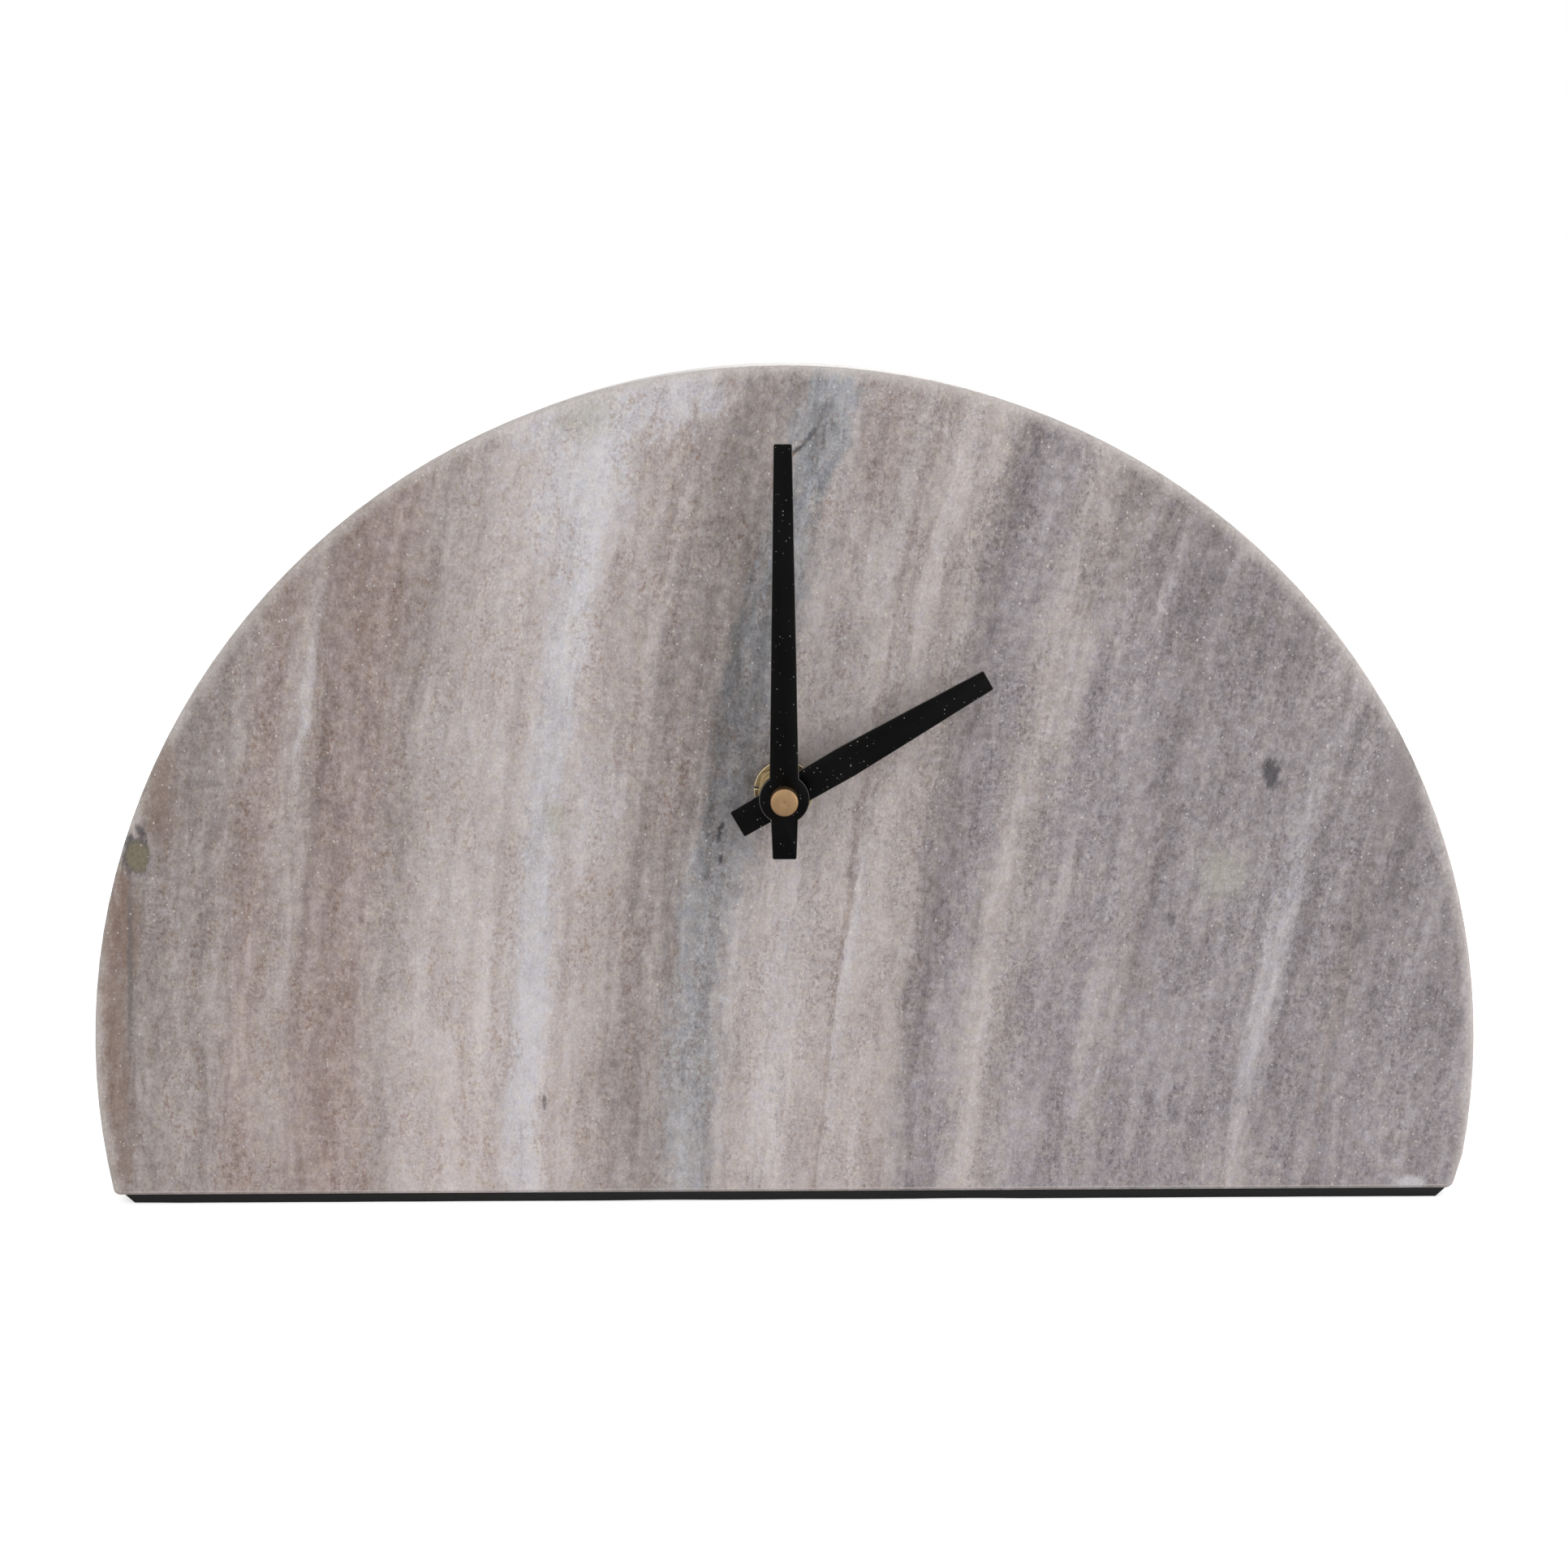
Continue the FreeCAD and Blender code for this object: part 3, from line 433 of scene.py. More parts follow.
# Marks that follow the layers through the slab: tone, place across the layers, height, half width,
# half length, softness, break up, strength.
LAYER_MARKS = (
    ("ice", -54, 178, 24, 13, 0.22, 1.6, 0.95),
    ("ice", -52.5, 158, 10, 19, 0.3, 1.2, 0.85),
    ("ice", -50, 130, 5, 16, 0.4, 1.5, 0.5),
    ("moss", -54, 172, 5, 6, 0.6, 2.0, 0.5),
    ("umber", -96, 145, 8, 26, 0.7, 2.2, 0.5),
    ("umber", -97, 104, 5, 16, 0.7, 2.4, 0.4),
    ("umber", -116, 82, 5, 12, 0.6, 1.8, 0.45),
    ("rose", -70, 40, 11, 46, 0.5, 1.2, 0.5),
    ("umber", 8, 165, 6, 15, 0.7, 1.8, 0.6),
    ("slate", -6, 172, 6.5, 17, 0.6, 2.6, 0.8),
    ("shadow", -6, 170, 1.6, 9, 0.7, 3.0, 0.6),
    ("slate", -8, 140, 5, 20, 0.7, 2.6, 0.65),
    # Partly the vein's own dark, partly painted shadow of the minute hand.
    ("shadow", -15.5, 114, 2.4, 30, 0.8, 2.4, 0.85),
    ("slate", -10, 110, 5, 30, 0.7, 2.6, 0.65),
    ("slate", -12, 70, 6.5, 20, 0.7, 2.4, 0.62),
    ("shadow", -15, 78, 1.6, 12, 0.8, 3.0, 0.4),
    ("slate", -13.5, 28, 6.5, 34, 0.7, 2.4, 0.60),
    ("dusk", -30, 30, 5, 26, 0.7, 2.0, 0.4),
    ("dusk", -26, 120, 5, 22, 0.7, 2.2, 0.3),
    ("rose", -41, 80, 5, 16, 0.7, 1.8, 0.5),
    ("rose", 80, 38, 3.5, 46, 0.7, 2.2, 0.35),
    ("taupe", 62, 152, 8, 24, 0.6, 1.8, 0.6),
    ("dusk", 38, 78, 5.5, 36, 0.6, 1.8, 0.55),
    ("dusk", 36, 148, 4, 26, 0.6, 1.8, 0.4),
    ("dusk", 106, 132, 22, 34, 0.8, 2.2, 0.6),
    ("dusk", 74, 150, 16, 20, 0.8, 2.2, 0.6),
    ("dusk", 134, 70, 8, 36, 0.7, 2.4, 0.4),
    ("ice", 114.5, 56, 2.6, 40, 0.7, 2.0, 0.45),
    ("ice", -104, 114, 1.2, 18, 0.6, 1.8, 0.45),
    ("ice", 5, 40, 4, 34, 0.8, 2.0, 0.35),
    ("ice", 14, 150, 1.2, 26, 0.7, 2.0, 0.35),
    ("ice", 19.5, 52, 1.4, 32, 0.7, 2.0, 0.55),
    ("umber", 17.5, 90, 0.7, 84, 0.6, 3.0, 0.55),
    ("umber", 84, 60, 0.8, 40, 0.6, 3.0, 0.35),
    ("umber", 131, 46, 1.2, 30, 0.6, 3.0, 0.4),
    ("ice", -40, 88, 5, 12, 0.6, 2.0, 0.55),
    ("rose", 17, 104, 9, 14, 0.8, 2.0, 0.35),
    ("rose", 114, 122, 8, 12, 0.8, 2.0, 0.35),
    ("rose", 65, 66, 7, 12, 0.8, 2.0, 0.3),
    ("rose", 116, 4, 8, 10, 0.8, 2.0, 0.4),
    ("rose", -5, 62, 6, 18, 0.8, 2.0, 0.35),
    ("rose", 12, 34, 6, 16, 0.8, 2.0, 0.35),
    # Painted shadow of the hands, left of the hub.
    ("shadow", -8.5, 110, 5.5, 34, 0.9, 2.4, 0.35),
)
# Half depth that takes a mark right through the slab.
THROUGH = 60

# Marks on the face: tone, place across the face, height, half width, half length, half depth,
# softness, break up, strength.
FACE_MARKS = (
    ("rust", -145.0, 44, 2.6, 42, 9, 0.7, 2.6, 0.6),
    ("rust", -141.5, 64, 2.4, 12, 7, 0.6, 2.2, 0.65),
    ("rust", -133.5, 93, 3.4, 14, 7, 0.7, 2.6, 0.6),
    ("dusk", 133.0, 96, 4.0, 14, 7, 0.7, 2.2, 0.7),
    ("ink", 104.1, 94.6, 1.8, 3.2, 5, 0.35, 2.4, 0.85),
    ("ink", 83.5, 62.9, 0.9, 1.6, 5, 0.5, 1.2, 0.45),
    ("ink", 124.9, 59.0, 1.6, 2.4, 5, 0.8, 2.6, 0.3),
    ("ink", -52.5, 22.8, 0.4, 1.6, 5, 0.5, 1.0, 0.6),
    ("ink", -139.2, 78.2, 3.0, 4.3, 7, 0.3, 2.2, 0.85),
    ("olive", -138.8, 77.8, 2.4, 3.5, 6, 0.2, 0.7, 1.0),
    ("ice", 136.8, 3.8, 3.2, 1.5, 3, 0.4, 1.5, 0.9),
    ("moss", -49.0, 86.0, 2.0, 4.0, 6, 0.4, 1.4, 0.5),
    ("moss", 94.0, 72.8, 4.6, 4.6, 6, 0.6, 3.6, 0.5),
    ("rust", -92.0, 138.0, 18, 18, 12, 0.9, 2.0, 0.16),
)

# Cracks in the face: tone, place across the face, height, lean, half width, half length, strength.
CRACKS = (
    ("rust", 2.0, 162.9, 1.07, 0.42, 0.9, 0.85),
    ("ink", 3.3, 164.2, 1.17, 0.75, 0.9, 0.85),
    ("shadow", 4.9, 165.8, 0.95, 0.60, 1.2, 0.80),
    ("ink", 6.3, 167.5, 0.73, 0.70, 1.2, 0.70),
    ("shadow", 7.1, 170.9, 0.03, 0.90, 3.2, 0.50),
    ("ink", -13.8, 82.7, 0.21, 0.50, 2.5, 0.90),
    ("ink", -13.7, 76.6, 0.20, 0.60, 1.1, 0.85),
    ("shadow", -16.3, 73.8, 0.32, 0.50, 1.9, 0.70),
    ("shadow", -7.4, 93.8, -0.12, 0.50, 1.7, 0.60),
    ("shadow", -9.8, 117.0, 0.05, 0.60, 3.6, 0.85),
    ("ink", -137.9, 83.4, -0.4, 0.9, 1.4, 0.7),
    ("shadow", -141.4, 54.0, 0.04, 0.6, 18.0, 0.7),
)
CRACK_DEPTH, CRACK_SOFTNESS, CRACK_BREAK_UP = 4, 0.5, 0.6
# How far the cracks stray to the side.
CRACK_WANDER = 2.2

# Brown and grey of the fine seams and speckles, left and right of the middle.
LEFT_SEAM = shade(112, 92, 82)
LEFT_SPECKLE, RIGHT_SPECKLE = shade(208, 190, 180), shade(194, 189, 193)
# Tints laid over the stone in small patches, as factors.
COOL, WARM = (0.985, 0.998, 1.045), (1.02, 1.0, 0.95)
GLINT = shade(224, 219, 215)


def marked(wires, colour, stone, mark, across, height, depth, rough):
    """Lays one mark over the stone's colour."""
    name, middle, level, width, length, deep, soft, ragged, strength = mark
    mask = wires.group(
        stone_mark(), across=across, height=height, depth=depth, rough=rough, middle=middle, level=level,
        half_width=width, half_length=length, half_depth=deep, softness=soft, break_up=ragged)[0]
    return wires.blend(colour, tuple(getattr(stone, name)), wires.times(mask, strength))


def layered(wires, stone, across):
    """Colour of the layers."""
    stops = []
    for where, name, light in STONE_LAYERS:
        colour = [part * light ** SCREEN_POWER for part in getattr(stone, name)]
        stops.append(((where - LAYERS_FROM) / (LAYERS_TO - LAYERS_FROM), colour))
    return wires.ramp(wires.span(across, LAYERS_FROM, LAYERS_TO, smooth=False), stops)


def streaked(wires, colour, busy, light, place, streaks):
    """Lays clouds, long and thin streaks, milky patches and warm and cool tints over the colour."""
    near = wires.move("SCALE", place, PER_METRE)
    cloud = wires.noise(streaks, 0.15, 6.0, 0.66)[0]
    long = wires.noise(wires.move("MULTIPLY", streaks, (1.0, 1.0, 0.16)), 0.34, 3.0, 0.6)[0]
    thin = wires.noise(streaks, 0.62, 5.0, 0.74)[0]
    milky = wires.noise(near, 0.42, 3.0, 0.62)[0]
    warm = wires.noise(near, 0.55, 4.0, 0.66)[0]
    colour = wires.soften(colour, cloud, 0.3, 0.7, 0.30, wires.times(busy, 0.42))
    colour = wires.soften(colour, long, 0.3, 0.7, 0.38, wires.times(busy, 0.35))
    colour = wires.soften(colour, thin, 0.3, 0.7, 0.38, wires.times(busy, 0.44))
    colour = wires.soften(
        colour, milky, 0.32, 0.68, 0.35, wires.span(light, 0.28, 0.48, 0.48, 0.26, False))
    tint = wires.blend(COOL, WARM, wires.span(warm, 0.36, 0.64, smooth=False))
    return wires.blend(colour, tint, 1.0, "MULTIPLY"), cloud, thin


def speckled(wires, colour, busy, patchy, thin, grain, across):
    """Lays dark speckles over the colour, crowded in patches."""
    speckle = wires.sum("MULTIPLY_ADD", thin, 0.7, wires.times(grain["Speckle"], 0.9))
    speckle = wires.times(wires.span(speckle, 0.78, 0.98), patchy)
    stain = wires.blend(LEFT_SPECKLE, RIGHT_SPECKLE, wires.span(across, -30.0, 60.0))
    dark = wires.blend((1.0, 1.0, 1.0), stain, wires.times(speckle, busy))
    return wires.blend(colour, dark, 1.0, "MULTIPLY")


def seamed(wires, colour, stone, busy, patchy, broken, streaks, across):
    """Lays fine dark seams over the colour, broken up along their length."""
    lines = []
    for scale, width, shift in ((0.22, 0.010, 0.0), (0.5, 0.014, 31.0)):
        bent = wires.move("ADD", wires.move("MULTIPLY", streaks, (1.0, 1.0, 0.9)), (shift, 0.0, shift))
        line = wires.sum("ABSOLUTE", wires.sum("SUBTRACT", wires.noise(bent, scale, 5.0, 0.72)[0], 0.5))
        lines.append(wires.span(line, width, 0.0))
    lines = wires.sum("MAXIMUM", *lines)
    lines = wires.times(lines, wires.span(wires.sum("ADD", broken, patchy), 0.25, 0.75))
    seam = wires.blend(LEFT_SEAM, tuple(stone.ink), wires.span(across, -40.0, 10.0))
    return wires.blend(colour, seam, wires.times(lines, wires.times(busy, 0.45)))


def edged(wires, colour, stone, broken, side, height, depth):
    """Paints light on the outline: a pale glow on the rim, the sides behind the face and the rounded
    edges.
    """
    reach = wires.length(wires.join(side, 0.0, wires.sum("SUBTRACT", height, ARC_HEIGHT)))
    reach = wires.sum("MULTIPLY_ADD", broken, 2.5, reach)
    # Painted glow of light along the curved rim.
    rim = wires.sum(
        "MAXIMUM", wires.span(reach, ARC_RADIUS - 3.4, ARC_RADIUS - 0.4, 0.0, 0.5),
        wires.span(reach, ARC_RADIUS - 1.2, ARC_RADIUS - 0.5, 0.0, 0.75))
    # Painted light on the sides behind the face and on the rounded edges.
    pale = wires.sum("MAXIMUM", rim, wires.span(depth, 0.15, 1.0, 0.0, 0.5))
    pale = wires.sum("MAXIMUM", pale, wires.times(wires.worn(), 0.5))
    return wires.blend(colour, tuple(stone.edge), pale)


def cracked(wires, colour, stone, broken, place, side, height, depth):
    """Lays the cracks over the colour."""
    jagged = wires.noise(wires.move("SCALE", place, PER_METRE), 0.8, 3.0, 0.7)[0]
    jagged = wires.sum("MULTIPLY_ADD", wires.sum("SUBTRACT", jagged, 0.5), CRACK_WANDER, side)
    for name, middle, level, lean, width, length, strength in CRACKS:
        slanted = wires.sum("MULTIPLY_ADD", height, -lean, jagged)
        mark = (
            name, middle - lean * level, level, width, length, CRACK_DEPTH, CRACK_SOFTNESS,
            CRACK_BREAK_UP, strength)
        colour = marked(wires, colour, stone, mark, slanted, height, depth, broken)
    return colour


def stone_material(stone):
    """Veined marble: leaning layers, marks, painted hand shadow, painted light on the foot and rim,
    streaks, seams, cracks and crystals.
    """
    material, wires, shader, place = new_material("marble", Specular_IOR_Level=0.42, IOR=1.5)
    layers = wires.group(foliation(), vector=place)
    grain = wires.group(crystal_grain(), vector=place, size=stone.crystal)
    across, height, depth, side, streaks = (
        layers[name] for name in ("Across", "Height", "Depth", "Side", "Streaks"))
    broken = wires.noise(wires.join(across, depth, wires.times(height, 0.35)), 0.42, 4.0, 0.68)[0]
    broken = wires.sum("SUBTRACT", broken, 0.5)
    colour = layered(wires, stone, across)
    # Layer marks, among them painted shadow of the hands.
    for mark in LAYER_MARKS:
        mark = (*mark[:5], THROUGH, *mark[5:])
        colour = marked(wires, colour, stone, mark, across, height, depth, broken)
    # Painted bounce light from the floor, lightening the stone towards its foot.
    colour = wires.move("SCALE", colour, wires.span(height, 0.0, FOOT_HEIGHT, FOOT_PAINTED_LIGHT, 1.0))
    light = wires.add("ShaderNodeRGBToBW", {0: colour}).outputs[0]
    busy = wires.times(wires.span(light, 0.30, 0.50, 1.0, 0.72, False), stone.contrast)
    colour, cloud, thin = streaked(wires, colour, busy, light, place, streaks)
    patchy = wires.noise(wires.move("MULTIPLY", streaks, (1.0, 1.0, 1.4)), 0.11, 4.0, 0.65)[0]
    patchy = wires.span(wires.sum("MULTIPLY_ADD", cloud, -0.6, patchy), 0.08, 0.30, 0.12, 1.0)
    colour = speckled(wires, colour, busy, patchy, thin, grain, across)
    colour = seamed(wires, colour, stone, busy, patchy, broken, streaks, across)
    # Painted light: pale glow on the rim, the sides and the rounded edges.
    colour = edged(wires, colour, stone, broken, side, height, depth)
    for mark in FACE_MARKS:
        colour = marked(wires, colour, stone, mark, side, height, depth, broken)
    colour = cracked(wires, colour, stone, broken, place, side, height, depth)
    colour = wires.soften(colour, grain["Shade"], 0.0, 1.0, 0.25, 0.28)
    colour = wires.soften(colour, grain["Fine"], 0.3, 0.7, 0.4, 0.34)
    colour = wires.blend(colour, GLINT, wires.times(grain["Glint"], 0.6))
    wires.feed(shader["Base Color"], colour)
    wires.feed(shader["Roughness"], wires.span(grain["Shade"], 0.0, 1.0, 0.50, 0.36, False))
    raised(wires, shader, wires.sum("MULTIPLY_ADD", grain["Speckle"], 0.8, grain["Fine"]), 0.03, 0.5)
    return material


CENTRE_MARK = shade(92, 70, 48)
BRASS_EDGE_HIGHLIGHT = shade(226, 214, 186)
DUST = shade(172, 164, 156)
ENAMEL_EDGE_HIGHLIGHT = shade(132, 128, 124)
# Along the cell, in metres from its ends: its band, and how much of each end is bare.
BAND_REACH, RAISED_END, FLAT_END, SOFT_EDGE = 0.0125, 0.0017, 0.0005, 0.0002


def brass_material(name, colour, pitch, roughness, depth, edge_highlight):
    """Turned brass with lathe rings, a little tarnish, a dark mark in the middle of a cap and a painted
    highlight on rounded edges.
    """
    material, wires, shader, place = new_material(name, Metallic=1.0)
    rings = wires.group(turning_rings(), vector=place, pitch=pitch)
    dull = [part * 0.8 for part in colour]
    tint = wires.blend(tuple(colour), dull, wires.span(rings["Tarnish"], 0.42, 0.72))
    tint = wires.soften(tint, rings["Ring"], 0.3, 0.7, 0.12, 0.5)
    tint = wires.blend(tint, CENTRE_MARK, wires.span(rings["Radius"], 0.42, 0.10, 0.0, 0.5))
    # Painted highlight on the rounded edges.
    tint = wires.blend(tint, BRASS_EDGE_HIGHLIGHT, wires.times(wires.worn(), edge_highlight))
    rough = wires.span(rings["Tarnish"], 0.3, 0.7, roughness - 0.07, roughness + 0.1, False)
    wires.feed(shader["Base Color"], tint)
    wires.feed(shader["Roughness"], rough)
    raised(wires, shader, rings["Ring"], depth, 0.6)
    return material


def enamel_material(colour):
    """Satin black enamel with specks of dust and a painted highlight on its rounded edges."""
    material, wires, shader, place = new_material("hand enamel", Specular_IOR_Level=0.06)
    grain = wires.group(fine_grain(), vector=place, size=0.0006)
    dust = wires.group(dust_specks(), vector=place, spacing=0.0007, speck=0.22)["Mask"]
    pale = [part * 1.9 for part in colour]
    tint = wires.blend(tuple(colour), pale, wires.span(grain["Slow"], 0.4, 0.75))
    tint = wires.blend(tint, DUST, wires.times(dust, 0.8))
    # Painted highlight on the rounded edges, stronger in places.
    worn = wires.times(wires.worn(), wires.span(grain["Slow"], 0.35, 0.65, 0.35, 0.8))
    tint = wires.blend(tint, ENAMEL_EDGE_HIGHLIGHT, worn)
    wires.feed(shader["Base Color"], tint)
    wires.feed(shader["Roughness"], wires.span(grain["Slow"], 0.3, 0.7, 0.30, 0.42, False))
    raised(wires, shader, grain["Grain"], 0.01, 0.35)
    return material


def moulded_material(name, colour, size, depth, roughness, specular=0.4):
    """Moulded plastic or rubber with an even grain."""
    material, wires, shader, place = new_material(name, Specular_IOR_Level=specular)
    grain = wires.group(fine_grain(), vector=place, size=size * MM)
    pale = [min(1.0, part * 1.3) for part in colour]
    tint = wires.blend(tuple(colour), pale, wires.span(grain["Slow"], 0.35, 0.7))
    tint = wires.blend(tint, [part * 0.8 for part in colour], wires.span(grain["Grain"], 0.55, 0.75))
    rough = wires.span(grain["Slow"], 0.3, 0.7, roughness - 0.06, roughness + 0.06, False)
    wires.feed(shader["Base Color"], tint)
    wires.feed(shader["Roughness"], rough)
    raised(wires, shader, grain["Grain"], depth, 0.6)
    return material


def steel_material(colour):
    """Nickel plated spring steel, drawn lengthwise."""
    material, wires, shader, place = new_material("contact steel", Metallic=1.0)
    drawn = wires.move("MULTIPLY", place, (1.0, 1.0, 0.06))
    lines = wires.noise(drawn, 9000.0, 2.0, 0.6)[0]
    tint = wires.soften(tuple(colour), lines, 0.3, 0.7, 0.2, 0.5)
    wires.feed(shader["Base Color"], tint)
    wires.feed(shader["Roughness"], wires.span(lines, 0.3, 0.7, 0.24, 0.36, False))
    raised(wires, shader, lines, 0.006, 0.5)
    return material


def cell_material(moulded, metal):
    """Battery cell: plain jacket, a band round the raised end, bare steel ends."""
    material, wires, shader, place = new_material("cell", Specular_IOR_Level=0.5)
    low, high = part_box("battery_cell")
    x = wires.split(place)[0]
    grain = wires.group(fine_grain(), vector=place, size=0.0008)
    pale = [part * 1.25 for part in moulded.jacket]
    tint = wires.blend(tuple(moulded.jacket), pale, wires.span(grain["Slow"], 0.35, 0.7))
    band = wires.span(x, high.x - BAND_REACH, high.x - BAND_REACH + SOFT_EDGE)
    tint = wires.blend(tint, tuple(moulded.band), band)
    bare = wires.sum(
        "MAXIMUM", wires.span(x, high.x - RAISED_END, high.x - RAISED_END + SOFT_EDGE),
        wires.span(x, low.x + FLAT_END, low.x + FLAT_END - SOFT_EDGE))
    tint = wires.blend(tint, tuple(metal.steel), bare)
    wires.feed(shader["Base Color"], tint)
    wires.feed(shader["Metallic"], wires.sum("MAXIMUM", bare, wires.times(band, 0.6)))
    wires.feed(shader["Roughness"], wires.span(grain["Slow"], 0.3, 0.7, 0.27, 0.36, False))
    raised(wires, shader, grain["Grain"], 0.006, 0.4)
    return material


MATERIALS = {}


def finishes(context):
    """Every finish, made once, by the record's slot name."""
    if not MATERIALS:
        scene = context.scene
        metal, moulded = scene.clock_metal, scene.clock_moulded
        MATERIALS.update({
            "marble": stone_material(scene.clock_stone),
            "pad_foam": moulded_material("base rubber", moulded.rubber, 0.5, 0.06, 0.72, 0.25),
            "cushion_rubber": moulded_material("cushion rubber", moulded.rubber, 0.8, 0.03, 0.62, 0.3),
            "hardware_brass": brass_material("fixing brass", metal.hardware, 0.16, 0.34, 0.004, 0.85),
            "cap_brass": brass_material("cap brass", metal.cap, 0.07, 0.36, 0.0025, 0.25),
            "hand_black": enamel_material(metal.enamel),
            "case_black": moulded_material("case plastic", moulded.case, 0.35, 0.03, 0.52),
            "module_plastic": moulded_material("module plastic", moulded.module, 0.5, 0.02, 0.45),
            "wheel_plastic": moulded_material("wheel plastic", moulded.acetal, 0.6, 0.008, 0.34),
            "contact_steel": steel_material(metal.steel),
            "cell_jacket": cell_material(moulded, metal),
            "knob_plastic": moulded_material("knob plastic", moulded.knob, 0.4, 0.02, 0.46),
        })
    return MATERIALS


# Shapes

FULL_TURN = 360.0
# The slab's lower right corner is worn from this place across, in metres, up to this height above
# its foot, and pulled in by up to this much.
WORN_FROM, WORN_HEIGHT, WORN_DEEP = 0.14, 9, 1.0
# The base strip's edges waver from cut to cut: in metres, how far its lower edge rises and its
# sides draw in.
STRIP_CUTS, STRIP_RISE, STRIP_DRAW = 72, 0.00028, 0.00022
# Bore of the split washer, and in degrees how far its metal goes round and where it starts.
WASHER_BORE, WASHER_SWEEP, WASHER_START = 4.1, 356.2, -172.1
# Past this distance from the shaft a hand is wider than its solid, by this share.
BLADE_FROM, BLADE_WIDER = 4.7, 0.09
CAP_BORE, CAP_BORE_DEPTH = 1.25, 1.9
# Rounded pieces of the movement: name, CAD node, slot, width of the rounding.
MOVEMENT = (
    ("movement_case", "front_case", "case_black", 0.15),
    ("movement_cover", "back_cover", "case_black", 0.15),
    ("knob_ribbed", "setting_knob", "knob_plastic", 0.12),
    ("plain_cell", "battery_cell", "cell_jacket", 0.12),
)
# Camera, from a pinhole fit to the outline: turn, dip and roll in degrees, place in metres.
CAMERA_ANGLES = (-0.21, 9.41, -0.25)
CAMERA_PLACE = (-0.00215, -0.6059, 0.1902)
# Lamps: name, place and width in metres, power as a share of the key lamp's.
LAMPS = (
    ("key lamp", (1.05, -1.34, 0.30), 0.85, 1.0),
    ("fill lamp", (-0.75, -1.25, 0.10), 1.0, 0.24),
    ("back lamp", (0.35, 1.35, 0.85), 1.0, 0.6),
)
LAMPS_AIM = (0.0, 0.0, 0.09)
# Half the floor's width in metres, and how much it glows where the camera sees it.
FLOOR_REACH, FLOOR_GLOW = 6.0, 0.62


def finished(name, bm, node, slot, context, smooth=35.0):
    """Turns a bmesh into a piece that stands for a CAD node and rides on its body."""
    bmesh.ops.remove_doubles(bm, verts=bm.verts, dist=SAME_PLACE)
    bmesh.ops.recalc_face_normals(bm, faces=bm.faces)
    limit = math.radians(smooth)
    for edge in bm.edges:
        edge.smooth = len(edge.link_faces) == 2 and edge.calc_face_angle(0.0) < limit
    for face in bm.faces:
        face.smooth = True
    mesh = bpy.data.meshes.new(name)
    bm.to_mesh(mesh)
    bm.free()
    mesh.materials.append(finishes(context)[slot])
    piece = bpy.data.objects.new(name, mesh)
    context.scene.collection.objects.link(piece)
    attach(piece, frame["nodes"][node]["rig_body"])
    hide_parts(node)


def solid_copy(node):
    """A merged copy of a CAD node's mesh, its flat faces joined up."""
    bm = bmesh.new()
    bm.from_mesh(frame["nodes"][node].data)
    bmesh.ops.remove_doubles(bm, verts=bm.verts, dist=2 * SAME_PLACE)
    bmesh.ops.dissolve_limit(
        bm, angle_limit=math.radians(0.3), use_dissolve_boundaries=False, verts=bm.verts, edges=bm.edges,
        delimit=set())
    return bm


def rounded(bm, width, segments=2, sharper=30.0):
    """Rounds every edge that turns by more than the given angle."""
    limit = math.radians(sharper)
    # The worn layer marks the rounded faces, where the finishes paint highlight and pale glow.
    worn = bm.faces.layers.float.get("worn") or bm.faces.layers.float.new("worn")
    edges = [
        edge for edge in bm.edges if len(edge.link_faces) == 2 and edge.calc_face_angle(0.0) > limit]
    eased = bmesh.ops.bevel(
        bm, geom=edges, offset=width * MM, offset_type="OFFSET", segments=segments, profile=0.5,
        affect="EDGES", material=-1, clamp_overlap=True, loop_slide=True)
    for face in eased["faces"]:
        face[worn] = 1.0
    return bm


def turned(profile, closed=False, sweep=FULL_TURN, start=0.0, steps=128):
    """Spins a profile of radius and depth, in millimetres, round the hand shaft."""
    bm = bmesh.new()
    points = [bm.verts.new((radius * MM, depth * MM, 0.0)) for radius, depth in profile]
    pairs = list(zip(points, points[1:]))
    if closed:
        pairs.append((points[-1], points[0]))
    edges = [bm.edges.new(pair) for pair in pairs]
    bmesh.ops.spin(
        bm, geom=points + edges, cent=(0, 0, 0), axis=(0, 1, 0), dvec=(0, 0, 0),
        angle=math.radians(sweep), steps=steps, use_merge=sweep == FULL_TURN, use_duplicate=False)
    bmesh.ops.remove_doubles(bm, verts=bm.verts, dist=SAME_PLACE)
    open_ends = [edge for edge in bm.edges if edge.is_boundary]
    if open_ends:
        bmesh.ops.holes_fill(bm, edges=open_ends, sides=0)
    bmesh.ops.rotate(
        bm, verts=bm.verts, cent=(0, 0, 0), matrix=Matrix.Rotation(math.radians(start), 3, "Y"))
    bmesh.ops.translate(bm, verts=bm.verts, vec=(0, 0, SHAFT_HEIGHT * MM))
    return bm


class ClockOperator:
    """Shared settings of the clock's operators."""

    bl_options = {"REGISTER", "UNDO"}


